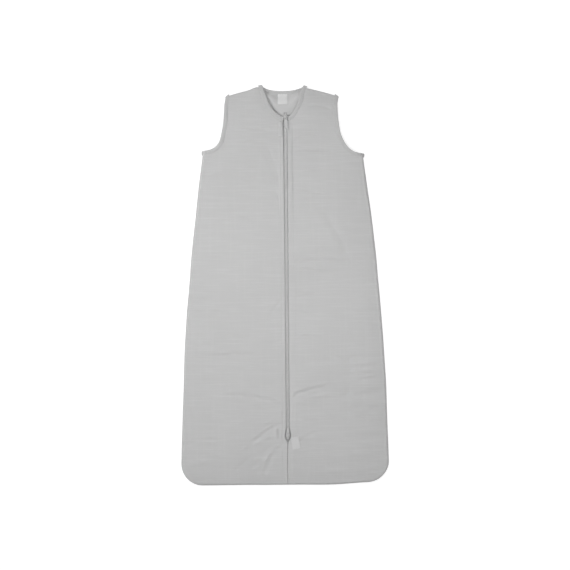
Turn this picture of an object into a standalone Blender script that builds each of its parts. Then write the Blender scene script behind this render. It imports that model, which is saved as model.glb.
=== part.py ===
"""Baby sleeping bag with a two-way centre zip, lying on its back. Metres, +Z up, head end at +Y.

The bag is drawn flat, as a pattern cutter would: an outline on the XY plane, with every layer at its own
height above it. The back lies flat, and the front rises from the sewn edges to a soft crown.
Left and right are as seen from above.
"""

import bisect
import math

import bmesh
import bpy
from mathutils import Vector

# Outline of the bag: half widths from its centre line, and places along it.
HEM_Y = -0.4500
HEM_HALF_WIDTH = 0.2330
HEM_CORNER_RADIUS = 0.0400
SIDE_BULGE = (0.2210, 0.0140)
ARMPIT = (0.1800, 0.2930)
ARMHOLE_BULGES = ((0.1450, 0.2940), (0.1240, 0.3300))
SHOULDER_TIP = (0.1270, 0.4250)
NECK_POINT = (0.0500, 0.4460)
BACK_NECK_Y = 0.4365
BACK_NECK_BULGE_X = 0.0360
FRONT_NECK_Y = 0.3770
FRONT_NECK_ROUND = (0.0110, 0.3760)
FRONT_NECK_BULGE = (0.0315, 0.4130)

# Fabric layers. A sandwich is one outer fabric and one lining about their shared middle height.
FABRIC = 0.0010
LAYER_GAP = 0.0005
SANDWICH_HALF = FABRIC + LAYER_GAP / 2
CLEARANCE = 0.0003

# Bindings: folded strips that hold the edge of a sandwich in their slot.
BINDING_WIDTH = 0.0090
BINDING_WALL = 0.0005
BINDING_PLAY = 0.00035
BINDING_FOLD_ROOM = 0.0007
BINDING_SLOT_HALF = SANDWICH_HALF + BINDING_PLAY
BINDING_HALF = BINDING_SLOT_HALF + BINDING_WALL
BOUND_INSET = BINDING_WALL + BINDING_FOLD_ROOM

# Heights of the sandwich middles. The back is lifted beside its bindings, which then lie level with it.
BACK_MIDDLE = SANDWICH_HALF
BACK_LIFT = BINDING_HALF - SANDWICH_HALF
BACK_LIFT_LENGTH = 0.0400
BACK_LIFT_SPARE = 0.0010
FRONT_EDGE_MIDDLE = BACK_MIDDLE + BACK_LIFT + 2 * BINDING_HALF + CLEARANCE
FRONT_PUFF = 0.0120
SIDE_REACH = 0.0500
HEM_REACH = 0.0600
SHOULDER_REACH = 0.0600

# Sewn edges: turned-in strips between the outer fabrics, with the linings up to them.
SEAM_WIDTH = 0.0080
LINING_INSET = SEAM_WIDTH + 2 * CLEARANCE
# An edge of a strap meets the shoulder seam at a slant, so it is cut back by more than the inset.
STRAP_SLANT = 1.06

# Zip. Its middle line is a little off the bag's own, because the placket beside it is a lapped one.
ZIP_X = 0.0080
TOP_SLIDER_Y = 0.3755
BOTTOM_SLIDER_Y = -0.3365
COIL_HALF_WIDTH = 0.0030
COIL_HEIGHT = 0.0019
COIL_CHAMFER = 0.0005
POST_HALF_WIDTH = 0.0003
COIL_INNER_EDGE = POST_HALF_WIDTH + CLEARANCE
TAPE_WIDTH = 0.0130
TAPE_THICKNESS = 0.0006
TAPE_FOLD_LENGTH = 0.0120
TAPE_TAIL = 0.0100
TAPE_BEYOND_STOP = 0.0012
TAPE_BELOW_BINDING = 0.0110
OPENING_HALF = 0.0037
LINING_OPENING_HALF = 0.0060
OPENING_RAMP = 0.0060
NECK_EDGE_FROM_OPENING = 0.0010
LINING_DROP = 2 * CLEARANCE + TAPE_THICKNESS - LAYER_GAP
DROP_HALF_WIDTH = 0.0200
DROP_FADE = 0.0100
DROP_FADE_LENGTH = 0.0080
DROP_BELOW_TAPE = 0.0080

# Sliders, about the middle of each, with the wide end away from the closed zip.
SLIDER_LENGTH = 0.0120
SLIDER_HALF_WIDTH = 0.0043
SLIDER_MOUTH_HALF_WIDTH = 0.0040
SHIELD_WAIST = -0.10
SHIELD_SHOULDER = 0.55
PLATE = 0.0009
FLANGE_WIDTH = 0.0007
FLANGE_LENGTH = 0.0080
FLANGE_FROM_MIDDLE = 0.0010
FLANGE_FROM_RIM = 0.0001
POST_LENGTH = 0.0030
POST_FROM_END = 0.0008
CAP_HALF_LENGTH = 0.0033
CAP_HALF_WIDTH = 0.0012
CAP_LEG = 0.0010
CAP_THICKNESS = 0.0009
CAP_BEVEL = 0.0006
SPRING_FROM_BAR = 0.0004
SPRING_THICKNESS = 0.0003
SPRING_BOW = 0.00015
SPRING_HALF_WIDTH = 0.0007
TAB_BAR_RADIUS = 0.00055
TAB_THICKNESS = 0.0010
TAB_RAIL = 0.00165
TAB_SIDE_PLAY = 0.0004
TAB_END_PLAY = 0.0016
TAB_CORNER_SHARE = 0.55
TAB_RAIL_SHARE = 0.70
TOP_TAB_LENGTH = 0.0270
TOP_TAB_HALF_WIDTH = 0.0034
BOTTOM_TAB_LENGTH = 0.0150
BOTTOM_TAB_HALF_WIDTH = 0.0024
STOP_LENGTH = 0.0022
STOP_JAW = 0.0007
STOP_WEB_FROM_MIDDLE = 0.0001

# Flaps and labels.
GUARD_HALF_WIDTH = 0.0150
GUARD_THICKNESS = 0.0008
GUARD_CORNER_RADIUS = 0.0060
GARAGE_FROM_ZIP = 0.0065
GARAGE_SIZE = (0.0095, 0.0340)
GARAGE_TOP_Y = 0.3650
GARAGE_THICKNESS = 0.0010
GARAGE_CORNER_RADIUS = 0.0025
NECK_LABEL_SIZE = (0.0220, 0.0260)
NECK_LABEL_TOP_Y = 0.4310
NECK_LABEL_X = 0.0020
SIDE_LABEL_SIZE = (0.0180, 0.0240)
SIDE_LABEL_FROM_ZIP = 0.0080
LABEL_THICKNESS = 0.0006

# How finely the panels are divided.
CURVE_STEPS = 64
CORNER_STEPS = 6
STRAP_STEPS = 16
ACROSS_FRONT = (0, 0.03, 0.07, 0.11, 0.15, 0.19, 0.23, 0.27, 0.45, 0.70, 0.86, 0.93, 1)
# Rows of the grid, above the hem corner and below the armpit.
HEM_ROWS = (0.002, 0.012, 0.022, 0.032)
BODY_ROWS = (0.543, 0.393, 0.243, 0.123, 0.073, 0.048, 0.028, BINDING_WIDTH + BACK_LIFT_SPARE)

SIDES = (("left", -1), ("right", 1))


# Scene and materials


def clear_scene():
    for obj in list(bpy.data.objects):
        bpy.data.objects.remove(obj)


def material(name, color, roughness, metallic=0.0):
    made = bpy.data.materials.new(name)
    made.use_nodes = True
    shader = made.node_tree.nodes["Principled BSDF"]
    shader.inputs["Base Color"].default_value = (*color, 1.0)
    shader.inputs["Roughness"].default_value = roughness
    shader.inputs["Metallic"].default_value = metallic
    return made


# Curves on the pattern


def bezier(points, t):
    """A point of the Bezier curve with these control points."""
    while len(points) > 1:
        points = [a.lerp(b, t) for a, b in zip(points, points[1:])]
    return points[0]


def curve(*controls):
    controls = [Vector(control) for control in controls]
    return [bezier(controls, step / CURVE_STEPS) for step in range(CURVE_STEPS + 1)]


def arc(center, radius, start, end, steps):
    """Points from one angle to the other, in degrees."""
    found = []
    for step in range(steps + 1):
        angle = math.radians(start + (end - start) * step / steps)
        found.append(Vector(center) + radius * Vector((math.cos(angle), math.sin(angle))))
    return found


def left_of(points, index):
    """The unit normal to the left of a curve at one of its points."""
    before = points[max(index - 1, 0)]
    after = points[min(index + 1, len(points) - 1)]
    along = (after - before).normalized()
    return Vector((-along.y, along.x))


def inset(points, distance):
    """The curve moved to its left by a distance."""
    return [point + distance * left_of(points, index) for index, point in enumerate(points)]


def mirrored(vectors, sign):
    return [Vector((sign * vector.x, vector.y)) for vector in vectors]


def resampled(points, count, trim=0.0):
    """Evenly spaced points along a curve, up to a trim before its end."""
    lengths = [0.0]
    for low, high in zip(points, points[1:]):
        lengths.append(lengths[-1] + (high - low).length)
    found = []
    for step in range(count + 1):
        at = (lengths[-1] - trim) * step / count
        index = min(max(bisect.bisect_right(lengths, at), 1), len(points) - 1)
        span = lengths[index] - lengths[index - 1]
        found.append(points[index - 1].lerp(points[index], (at - lengths[index - 1]) / span))
    return found


def x_at(points, y):
    """Where a curve that runs up the pattern crosses this height."""
    index = bisect.bisect_right(points, y, key=lambda point: point.y)
    index = min(max(index, 1), len(points) - 1)
    low, high = points[index - 1], points[index]
    share = (y - low.y) / max(high.y - low.y, 1e-9)
    return low.x + (high.x - low.x) * min(max(share, 0.0), 1.0)


CORNER_CENTER = (HEM_HALF_WIDTH - HEM_CORNER_RADIUS, HEM_Y + HEM_CORNER_RADIUS)
SIDE_START = (HEM_HALF_WIDTH, HEM_Y + HEM_CORNER_RADIUS)
CORNER = arc(CORNER_CENTER, HEM_CORNER_RADIUS, -90, 0, CORNER_STEPS)
SIDE = curve(SIDE_START, SIDE_BULGE, ARMPIT)
SEWN_SIDE = CORNER + SIDE[1:]
ARMHOLE = curve(ARMPIT, *ARMHOLE_BULGES, SHOULDER_TIP)
BACK_NECK = curve(NECK_POINT, (BACK_NECK_BULGE_X, BACK_NECK_Y), (0.0, BACK_NECK_Y))


def front_neck(sign, start):
    """The front neckline of one side, from this far off the zip's middle up to the neck point."""
    return curve(
        (ZIP_X + sign * start, FRONT_NECK_Y),
        (ZIP_X + sign * FRONT_NECK_ROUND[0], FRONT_NECK_ROUND[1]),
        (sign * FRONT_NECK_BULGE[0], FRONT_NECK_BULGE[1]),
        (sign * NECK_POINT[0], NECK_POINT[1]),
    )


# Heights of the layers


def rise(distance, reach):
    """0 at a sewn edge and 1 from its reach on."""
    return math.sin(math.pi / 2 * min(max(distance / reach, 0.0), 1.0))


def blend(value, start, end):
    """0 at start and 1 at end, smooth between."""
    share = min(max((value - start) / (end - start), 0.0), 1.0)
    return share * share * (3 - 2 * share)


def side_distance(x, y):
    if y <= ARMPIT[1]:
        return x_at(SEWN_SIDE, y) - abs(x)
    return math.hypot(ARMPIT[0] - abs(x), y - ARMPIT[1])


def below_shoulder(point):
    """Distance down from the line of the shoulder seam."""
    along = (Vector(NECK_POINT) - Vector(SHOULDER_TIP)).normalized()
    return (point - Vector(SHOULDER_TIP)).dot(Vector((-along.y, along.x)))


def shoulder_distance(x, y):
    tip, neck = Vector(SHOULDER_TIP), Vector(NECK_POINT)
    along = neck - tip
    point = Vector((abs(x), y))
    share = min(max((point - tip).dot(along) / along.length_squared, 0.0), 1.0)
    return (point - tip - share * along).length


def front_middle(x, y):
    """Height of the middle of the front sandwich."""
    puff = rise(side_distance(x, y), SIDE_REACH)
    puff *= rise(y - HEM_Y, HEM_REACH)
    puff *= rise(shoulder_distance(x, y), SHOULDER_REACH)
    return FRONT_EDGE_MIDDLE + FRONT_PUFF * puff


def back_middle(x, y):
    """Height of the middle of the back sandwich."""
    lifted_y = ARMPIT[1] - BINDING_WIDTH - BACK_LIFT_SPARE
    return BACK_MIDDLE + BACK_LIFT * blend(y, lifted_y - BACK_LIFT_LENGTH, lifted_y)


COIL_TOP_Y = TOP_SLIDER_Y + SLIDER_LENGTH / 2
COIL_BOTTOM_Y = BOTTOM_SLIDER_Y - SLIDER_LENGTH / 2
TAPE_TOP_Y = COIL_TOP_Y + STOP_LENGTH + 2 * CLEARANCE + TAPE_BEYOND_STOP
TAPE_BOTTOM_Y = COIL_BOTTOM_Y - TAPE_TAIL
TAPE_FULL_Y = FRONT_NECK_Y - BINDING_WIDTH - TAPE_FOLD_LENGTH - TAPE_BELOW_BINDING
DROP_TOP_Y = TAPE_FULL_Y + TAPE_FOLD_LENGTH
DROP_BOTTOM_Y = TAPE_BOTTOM_Y - DROP_BELOW_TAPE


def lining_drop(x, y):
    """How far a front lining makes room for the zip tape between it and the outer fabric."""
    across = 1 - blend(abs(x - ZIP_X), DROP_HALF_WIDTH, DROP_HALF_WIDTH + DROP_FADE)
    above = 1 - blend(y, DROP_TOP_Y, DROP_TOP_Y + DROP_FADE_LENGTH)
    below = blend(y, DROP_BOTTOM_Y - 2 * DROP_FADE_LENGTH, DROP_BOTTOM_Y)
    return LINING_DROP * across * above * below


ZIP_HEIGHT = FRONT_EDGE_MIDDLE + FRONT_PUFF
FRONT_TOP = ZIP_HEIGHT + SANDWICH_HALF
TAPE_TOP = ZIP_HEIGHT + LAYER_GAP / 2 - CLEARANCE
TAPE_BOTTOM = TAPE_TOP - TAPE_THICKNESS
COIL_BOTTOM = TAPE_TOP + CLEARANCE
COIL_TOP = COIL_BOTTOM + COIL_HEIGHT
UPPER_PLATE = COIL_TOP + CLEARANCE
UPPER_PLATE_TOP = UPPER_PLATE + PLATE
LOWER_PLATE_TOP = TAPE_BOTTOM - CLEARANCE
LOWER_PLATE = LOWER_PLATE_TOP - PLATE
LINING_UNDERSIDE = ZIP_HEIGHT - SANDWICH_HALF - LINING_DROP
GUARD_TOP = LINING_UNDERSIDE - CLEARANCE
TAB_AXIS = UPPER_PLATE_TOP + CLEARANCE + TAB_BAR_RADIUS
SPRING = TAB_AXIS + TAB_BAR_RADIUS + SPRING_FROM_BAR
CAP_UNDERSIDE = SPRING + SPRING_BOW + SPRING_THICKNESS + CLEARANCE
CAP_TOP = CAP_UNDERSIDE + CAP_THICKNESS
TAB_HALF_WIDTH = CAP_HALF_WIDTH + TAB_SIDE_PLAY + TAB_RAIL


# Solids


def solid(name, points, faces, look):
    mesh = bpy.data.meshes.new(name)
    mesh.from_pydata([tuple(point) for point in points], [], faces)
    work = bmesh.new()
    work.from_mesh(mesh)
    bmesh.ops.recalc_face_normals(work, faces=work.faces)
    work.to_mesh(mesh)
    work.free()
    mesh.materials.append(look)
    mesh.shade_smooth()
    mesh.set_sharp_from_angle(angle=math.radians(35))
    made = bpy.data.objects.new(name, mesh)
    bpy.context.scene.collection.objects.link(made)
    return made


def layer(name, rows, under, over, look):
    """A sheet of fabric: a grid of plan points, closed between an under and an over height."""
    points = []
    for height in (under, over):
        for row in rows:
            points += [(x, y, height(x, y)) for x, y in row]
    across = len(rows[0])
    above = len(rows) * across
    faces = []
    for j in range(len(rows) - 1):
        for i in range(across - 1):
            low = j * across + i
            quad = (low, low + 1, low + 1 + across, low + across)
            faces.append(quad[::-1])
            faces.append(tuple(corner + above for corner in quad))
    rim = list(range(across))
    rim += [j * across + across - 1 for j in range(1, len(rows))]
    rim += [above - across + i for i in reversed(range(across - 1))]
    rim += [j * across for j in reversed(range(1, len(rows) - 1))]
    for low, high in zip(rim, rim[1:] + rim[:1]):
        faces.append((low, high, high + above, low + above))
    return solid(name, points, faces, look)


def loft(name, rings, look, closed=False):
    """A skin over rings of matching points, capped at both ends unless it closes on itself."""
    count = len(rings[0])
    points = [point for ring in rings for point in ring]
    faces = []
    for j in range(len(rings) if closed else len(rings) - 1):
        here = j * count
        there = (j + 1) % len(rings) * count
        for i in range(count):
            after = (i + 1) % count
            faces.append((here + i, here + after, there + after, there + i))
    if not closed:
        faces.append(tuple(range(count))[::-1])
        faces.append(tuple(range(len(points) - count, len(points))))
    return solid(name, points, faces, look)


def plate(name, outline, bottom, top, look):
    """A flat plate of this outline."""
    return loft(name, [[(x, y, bottom) for x, y in outline], [(x, y, top) for x, y in outline]], look)


def block(name, x_range, y_range, z_range, look):
    outline = [(x_range[0], y_range[0]), (x_range[1], y_range[0])]
    outline += [(x_range[1], y_range[1]), (x_range[0], y_range[1])]
    return plate(name, outline, *z_range, look)


def rounded(x_range, y_range, radius, steps=3):
    """A rectangle with round corners."""
    outline = []
    for x, y, start in (
        (x_range[1] - radius, y_range[1] - radius, 0),
        (x_range[0] + radius, y_range[1] - radius, 90),
        (x_range[0] + radius, y_range[0] + radius, 180),
        (x_range[1] - radius, y_range[0] + radius, 270),
    ):
        outline += arc((x, y), radius, start, start + 90, steps)
    return outline


def joined(name, shapes, look):
    """One body from shapes that run into each other."""
    whole, *others = shapes
    for other in others:
        union = whole.modifiers.new("join", "BOOLEAN")
        union.operation = "UNION"
        union.object = other
    graph = bpy.context.evaluated_depsgraph_get()
    mesh = bpy.data.meshes.new_from_object(whole.evaluated_get(graph))
    for shape in shapes:
        bpy.data.objects.remove(shape)
    mesh.name = name
    mesh.materials.clear()
    mesh.materials.append(look)
    made = bpy.data.objects.new(name, mesh)
    bpy.context.scene.collection.objects.link(made)
    return made


def set_origin(made, place):
    """Moves an object's origin to its joint and leaves its shape where it was."""
    place = Vector(place)
    for vertex in made.data.vertices:
        vertex.co -= place
    made.location = place


# Panels and linings


def front_rows(sign, sewn_inset, opening_half):
    """A front half: rows from its outer edge to the zip or the neckline, from the hem to the shoulder."""
    side = inset(SEWN_SIDE, sewn_inset)
    armhole = inset(ARMHOLE, BOUND_INSET)
    strap_trim = sewn_inset * STRAP_SLANT
    zip_edge = ZIP_X + sign * opening_half
    meeting_edge = ZIP_X + sign * CLEARANCE / 2
    strap_y = armhole[0].y
    meet_y = TAPE_BOTTOM_Y - CLEARANCE

    heights = [(point.y, meeting_edge) for point in side[: CORNER_STEPS + 1]]
    heights += [(SIDE_START[1] + row, meeting_edge) for row in HEM_ROWS]
    heights += [(DROP_BOTTOM_Y, meeting_edge), (meet_y, meeting_edge), (meet_y + OPENING_RAMP, zip_edge)]
    heights += [(ARMPIT[1] - row, zip_edge) for row in BODY_ROWS]
    ends = []
    for y, inner in heights:
        ends.append((Vector((sign * x_at(side, y), y)), Vector((inner, y))))

    neck = inset(front_neck(sign, opening_half + NECK_EDGE_FROM_OPENING), -sign * BOUND_INSET)
    inner_y = (strap_y, (strap_y + TAPE_FULL_Y) / 2, TAPE_FULL_Y)
    inner_y += (DROP_TOP_Y, DROP_TOP_Y + DROP_FADE_LENGTH, neck[0].y - CLEARANCE)
    inner = [Vector((zip_edge, y)) for y in inner_y]
    inner += resampled(neck, STRAP_STEPS - len(inner), strap_trim)
    outer = resampled(armhole, STRAP_STEPS, strap_trim)
    ends += [(Vector((sign * out.x, out.y)), into) for out, into in zip(outer, inner)]
    return [[out.lerp(into, share) for share in ACROSS_FRONT] for out, into in ends]


def back_rows(sewn_inset):
    """The back: rows from side to side, with the shoulders and the neckline as the last one."""
    side = inset(SEWN_SIDE, sewn_inset)
    strap_trim = sewn_inset * STRAP_SLANT
    armhole = resampled(inset(ARMHOLE, BOUND_INSET), STRAP_STEPS, strap_trim)
    neck = inset(BACK_NECK, BOUND_INSET)
    neck = [point for point in neck if below_shoulder(point) >= sewn_inset]
    shoulder = [armhole[-1], armhole[-1].lerp(neck[0], 0.5)]
    top = shoulder + resampled(neck, 4)
    top += [Vector((-point.x, point.y)) for point in reversed(top[:-1])]
    shares = [point.x / top[0].x for point in top]

    edge = list(side[: CORNER_STEPS + 1])
    edge += [Vector((x_at(side, ARMPIT[1] - row), ARMPIT[1] - row)) for row in BODY_ROWS]
    edge += armhole[:-1]
    return [[Vector((point.x * share, point.y)) for share in shares] for point in edge] + [top]


def make_panels(muslin, lining):
    half_gap = LAYER_GAP / 2
    layer(
        "back_panel",
        back_rows(0.0),
        lambda x, y: back_middle(x, y) - SANDWICH_HALF,
        lambda x, y: back_middle(x, y) - half_gap,
        muslin,
    )
    layer(
        "back_lining",
        back_rows(LINING_INSET),
        lambda x, y: back_middle(x, y) + half_gap,
        lambda x, y: back_middle(x, y) + SANDWICH_HALF,
        lining,
    )
    for side, sign in SIDES:
        layer(
            f"front_panel_{side}",
            front_rows(sign, 0.0, OPENING_HALF),
            lambda x, y: front_middle(x, y) + half_gap,
            lambda x, y: front_middle(x, y) + SANDWICH_HALF,
            muslin,
        )
        layer(
            f"front_lining_{side}",
            front_rows(sign, LINING_INSET, LINING_OPENING_HALF),
            lambda x, y: front_middle(x, y) - SANDWICH_HALF - lining_drop(x, y),
            lambda x, y: front_middle(x, y) - half_gap - lining_drop(x, y),
            lining,
        )


# Sewn edges


def seam_strip(name, outer_edge, inner_edge, look):
    """A turned-in seam between the outer fabrics of front and back."""
    rings = []
    for outer, inner in zip(outer_edge, inner_edge):
        bottom = back_middle(*outer) - LAYER_GAP / 2 + CLEARANCE
        top = FRONT_EDGE_MIDDLE + LAYER_GAP / 2 - CLEARANCE
        rings.append([(*outer, bottom), (*inner, bottom), (*inner, top), (*outer, top)])
    return loft(name, rings, look)


def make_side_and_shoulder_seams(look):
    binding_room = BINDING_WIDTH + 2 * CLEARANCE
    top_y = ARMPIT[1] - binding_room
    side_edge = [point for point in SIDE if point.y < top_y]
    foot_y = SIDE_START[1] + CLEARANCE
    tip, neck = Vector(SHOULDER_TIP), Vector(NECK_POINT)
    share = binding_room / (neck - tip).length
    shoulder_edge = [tip.lerp(neck, share), tip.lerp(neck, 1 - share)]
    for seam, edge, steps in (("side", side_edge, 16), ("shoulder", shoulder_edge, 1)):
        outer = resampled(inset(edge, CLEARANCE), steps)
        inner = resampled(inset(edge, SEAM_WIDTH), steps)
        outer[0].y = max(outer[0].y, foot_y)
        inner[0].y = max(inner[0].y, foot_y)
        for side, sign in SIDES:
            seam_strip(f"{seam}_seam_{side}", mirrored(outer, sign), mirrored(inner, sign), look)


def make_hem_seam(look):
    edges = []
    for width in (CLEARANCE, SEAM_WIDTH):
        right = arc(CORNER_CENTER, HEM_CORNER_RADIUS - width, -90, 0, CORNER_STEPS)
        right[-1] = right[-1] - Vector((0.0, CLEARANCE))
        edges.append(mirrored(right[::-1], -1) + right)
    seam_strip("hem_seam", *edges, look)


# Bindings


def binding_profile():
    """Corners of the folded strip, as (in from the fold, out from the sandwich's middle)."""
    return (
        (0.0, -BINDING_HALF),
        (BINDING_WIDTH, -BINDING_HALF),
        (BINDING_WIDTH, -BINDING_SLOT_HALF),
        (BINDING_WALL, -BINDING_SLOT_HALF),
        (BINDING_WALL, BINDING_SLOT_HALF),
        (BINDING_WIDTH, BINDING_SLOT_HALF),
        (BINDING_WIDTH, BINDING_HALF),
        (0.0, BINDING_HALF),
    )


def flat_rings(edge, inward, middle, outward):
    """Rings of the profile where a sandwich lies flat, with its outer fabric up (1) or down (-1)."""
    rings = []
    for point, normal in zip(edge, inward):
        ring = []
        for along, out in binding_profile():
            place = point + along * normal
            ring.append((*place, middle(*place) + outward * out))
        rings.append(ring)
    return rings


def fold_rings(point, inward, away, going_down):
    """Rings where the strip turns over a seam, between front and back."""
    front = FRONT_EDGE_MIDDLE
    back = back_middle(*point)
    middle, radius = (front + back) / 2, (front - back) / 2
    rings = []
    for degrees in (30, 60, 90, 120, 150):
        angle = math.radians(degrees if going_down else 180 - degrees)
        ring = []
        for along, out in binding_profile():
            place = point + along * inward + (radius + out) * math.sin(angle) * away
            ring.append((*place, middle + (radius + out) * math.cos(angle)))
        rings.append(ring)
    return rings


def make_armhole_binding(side, sign, look):
    edge = resampled(ARMHOLE, 22)
    inward = [left_of(edge, index) for index in range(len(edge))]
    along_shoulder = (Vector(NECK_POINT) - Vector(SHOULDER_TIP)).normalized()
    over_shoulder = Vector((along_shoulder.y, -along_shoulder.x))
    inward[0] = Vector((0.0, -1.0))
    inward[-1] = along_shoulder
    edge, inward = mirrored(edge, sign), mirrored(inward, sign)
    tip_in, tip_away = mirrored((along_shoulder, over_shoulder), sign)
    pit_in, pit_away = mirrored((Vector((0.0, -1.0)), Vector((1.0, 0.0))), sign)
    rings = flat_rings(edge, inward, front_middle, 1)
    rings += fold_rings(edge[-1], tip_in, tip_away, True)
    rings += flat_rings(edge[::-1], inward[::-1], back_middle, -1)
    rings += fold_rings(edge[0], pit_in, pit_away, False)
    return loft(f"armhole_binding_{side}", rings, look, closed=True)


def make_neck_binding(look):
    along_shoulder = (Vector(SHOULDER_TIP) - Vector(NECK_POINT)).normalized()
    over_shoulder = Vector((-along_shoulder.y, along_shoulder.x))
    fronts = {}
    for _, sign in SIDES:
        edge = resampled(front_neck(sign, OPENING_HALF + NECK_EDGE_FROM_OPENING), 14)
        inward = [-sign * left_of(edge, index) for index in range(len(edge))]
        inward[-1] = mirrored([along_shoulder], sign)[0]
        fronts[sign] = (edge, inward)
    half_back = resampled(BACK_NECK, 6)
    inward = [left_of(half_back, index) for index in range(len(half_back))]
    inward[0] = along_shoulder
    back_edge = mirrored(half_back, -1) + half_back[-2::-1]
    back_inward = mirrored(inward, -1) + inward[-2::-1]

    left_edge, left_inward = fronts[-1]
    right_edge, right_inward = fronts[1]
    left_away, right_away = mirrored([over_shoulder], -1)[0], over_shoulder
    rings = flat_rings(left_edge, left_inward, front_middle, 1)
    rings += fold_rings(left_edge[-1], left_inward[-1], left_away, True)
    rings += flat_rings(back_edge, back_inward, back_middle, -1)
    rings += fold_rings(right_edge[-1], right_inward[-1], right_away, False)
    rings += flat_rings(right_edge[::-1], right_inward[::-1], front_middle, 1)
    return loft("neck_binding", rings, look)


# Zip


def make_tapes(look):
    inner, outer = COIL_INNER_EDGE, TAPE_WIDTH
    outline = ((inner, TAPE_BOTTOM_Y), (outer, TAPE_BOTTOM_Y), (outer, TAPE_FULL_Y))
    outline += ((OPENING_HALF - CLEARANCE, DROP_TOP_Y), (OPENING_HALF - CLEARANCE, TAPE_TOP_Y))
    outline += ((inner, TAPE_TOP_Y),)
    for side, sign in SIDES:
        corners = [(ZIP_X + sign * x, y) for x, y in outline]
        plate(f"zip_tape_{side}", corners, TAPE_BOTTOM, TAPE_TOP, look)


def make_coils(look):
    """One row of coil on each tape, as the envelope of its turns."""
    low, high, chamfer = COIL_BOTTOM, COIL_TOP, COIL_CHAMFER
    section = ((COIL_INNER_EDGE, low), (COIL_HALF_WIDTH, low), (COIL_HALF_WIDTH, high - chamfer))
    section += ((COIL_HALF_WIDTH - chamfer, high), (COIL_INNER_EDGE, high))
    for side, sign in SIDES:
        rings = []
        for y in (COIL_BOTTOM_Y, COIL_TOP_Y):
            rings.append([(ZIP_X + sign * x, y, z) for x, z in section])
        loft(f"zip_coil_{side}", rings, look)


def make_top_stops(look):
    """A clip on the inner edge of each tape, past the end of its coil."""
    web = (STOP_WEB_FROM_MIDDLE, COIL_INNER_EDGE - CLEARANCE)
    upper = (TAPE_TOP + CLEARANCE, COIL_TOP)
    lower = (TAPE_BOTTOM - CLEARANCE - STOP_JAW, TAPE_BOTTOM - CLEARANCE)
    section = ((web[0], lower[0]), (COIL_HALF_WIDTH, lower[0]), (COIL_HALF_WIDTH, lower[1]))
    section += ((web[1], lower[1]), (web[1], upper[0]), (COIL_HALF_WIDTH, upper[0]))
    section += ((COIL_HALF_WIDTH, upper[1]), (web[0], upper[1]))
    start = COIL_TOP_Y + CLEARANCE
    for side, sign in SIDES:
        rings = []
        for y in (start, start + STOP_LENGTH):
            rings.append([(ZIP_X + sign * x, y, z) for x, z in section])
        loft(f"zip_top_stop_{side}", rings, look)


def make_bottom_stop(look):
    """One clip across both tapes, with its web in the gap between them."""
    upper = (TAPE_TOP + CLEARANCE, COIL_TOP)
    lower = (TAPE_BOTTOM - CLEARANCE - STOP_JAW, TAPE_BOTTOM - CLEARANCE)
    half, web = COIL_HALF_WIDTH, COIL_INNER_EDGE - CLEARANCE
    section = ((-half, upper[0]), (-half, upper[1]), (half, upper[1]), (half, upper[0]), (web, upper[0]))
    section += ((web, lower[1]), (half, lower[1]), (half, lower[0]), (-half, lower[0]))
    section += ((-half, lower[1]), (-web, lower[1]), (-web, upper[0]))
    start = COIL_BOTTOM_Y - CLEARANCE
    rings = []
    for y in (start - STOP_LENGTH, start):
        rings.append([(ZIP_X + x, y, z) for x, z in section])
    loft("zip_bottom_stop", rings, look)


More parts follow.
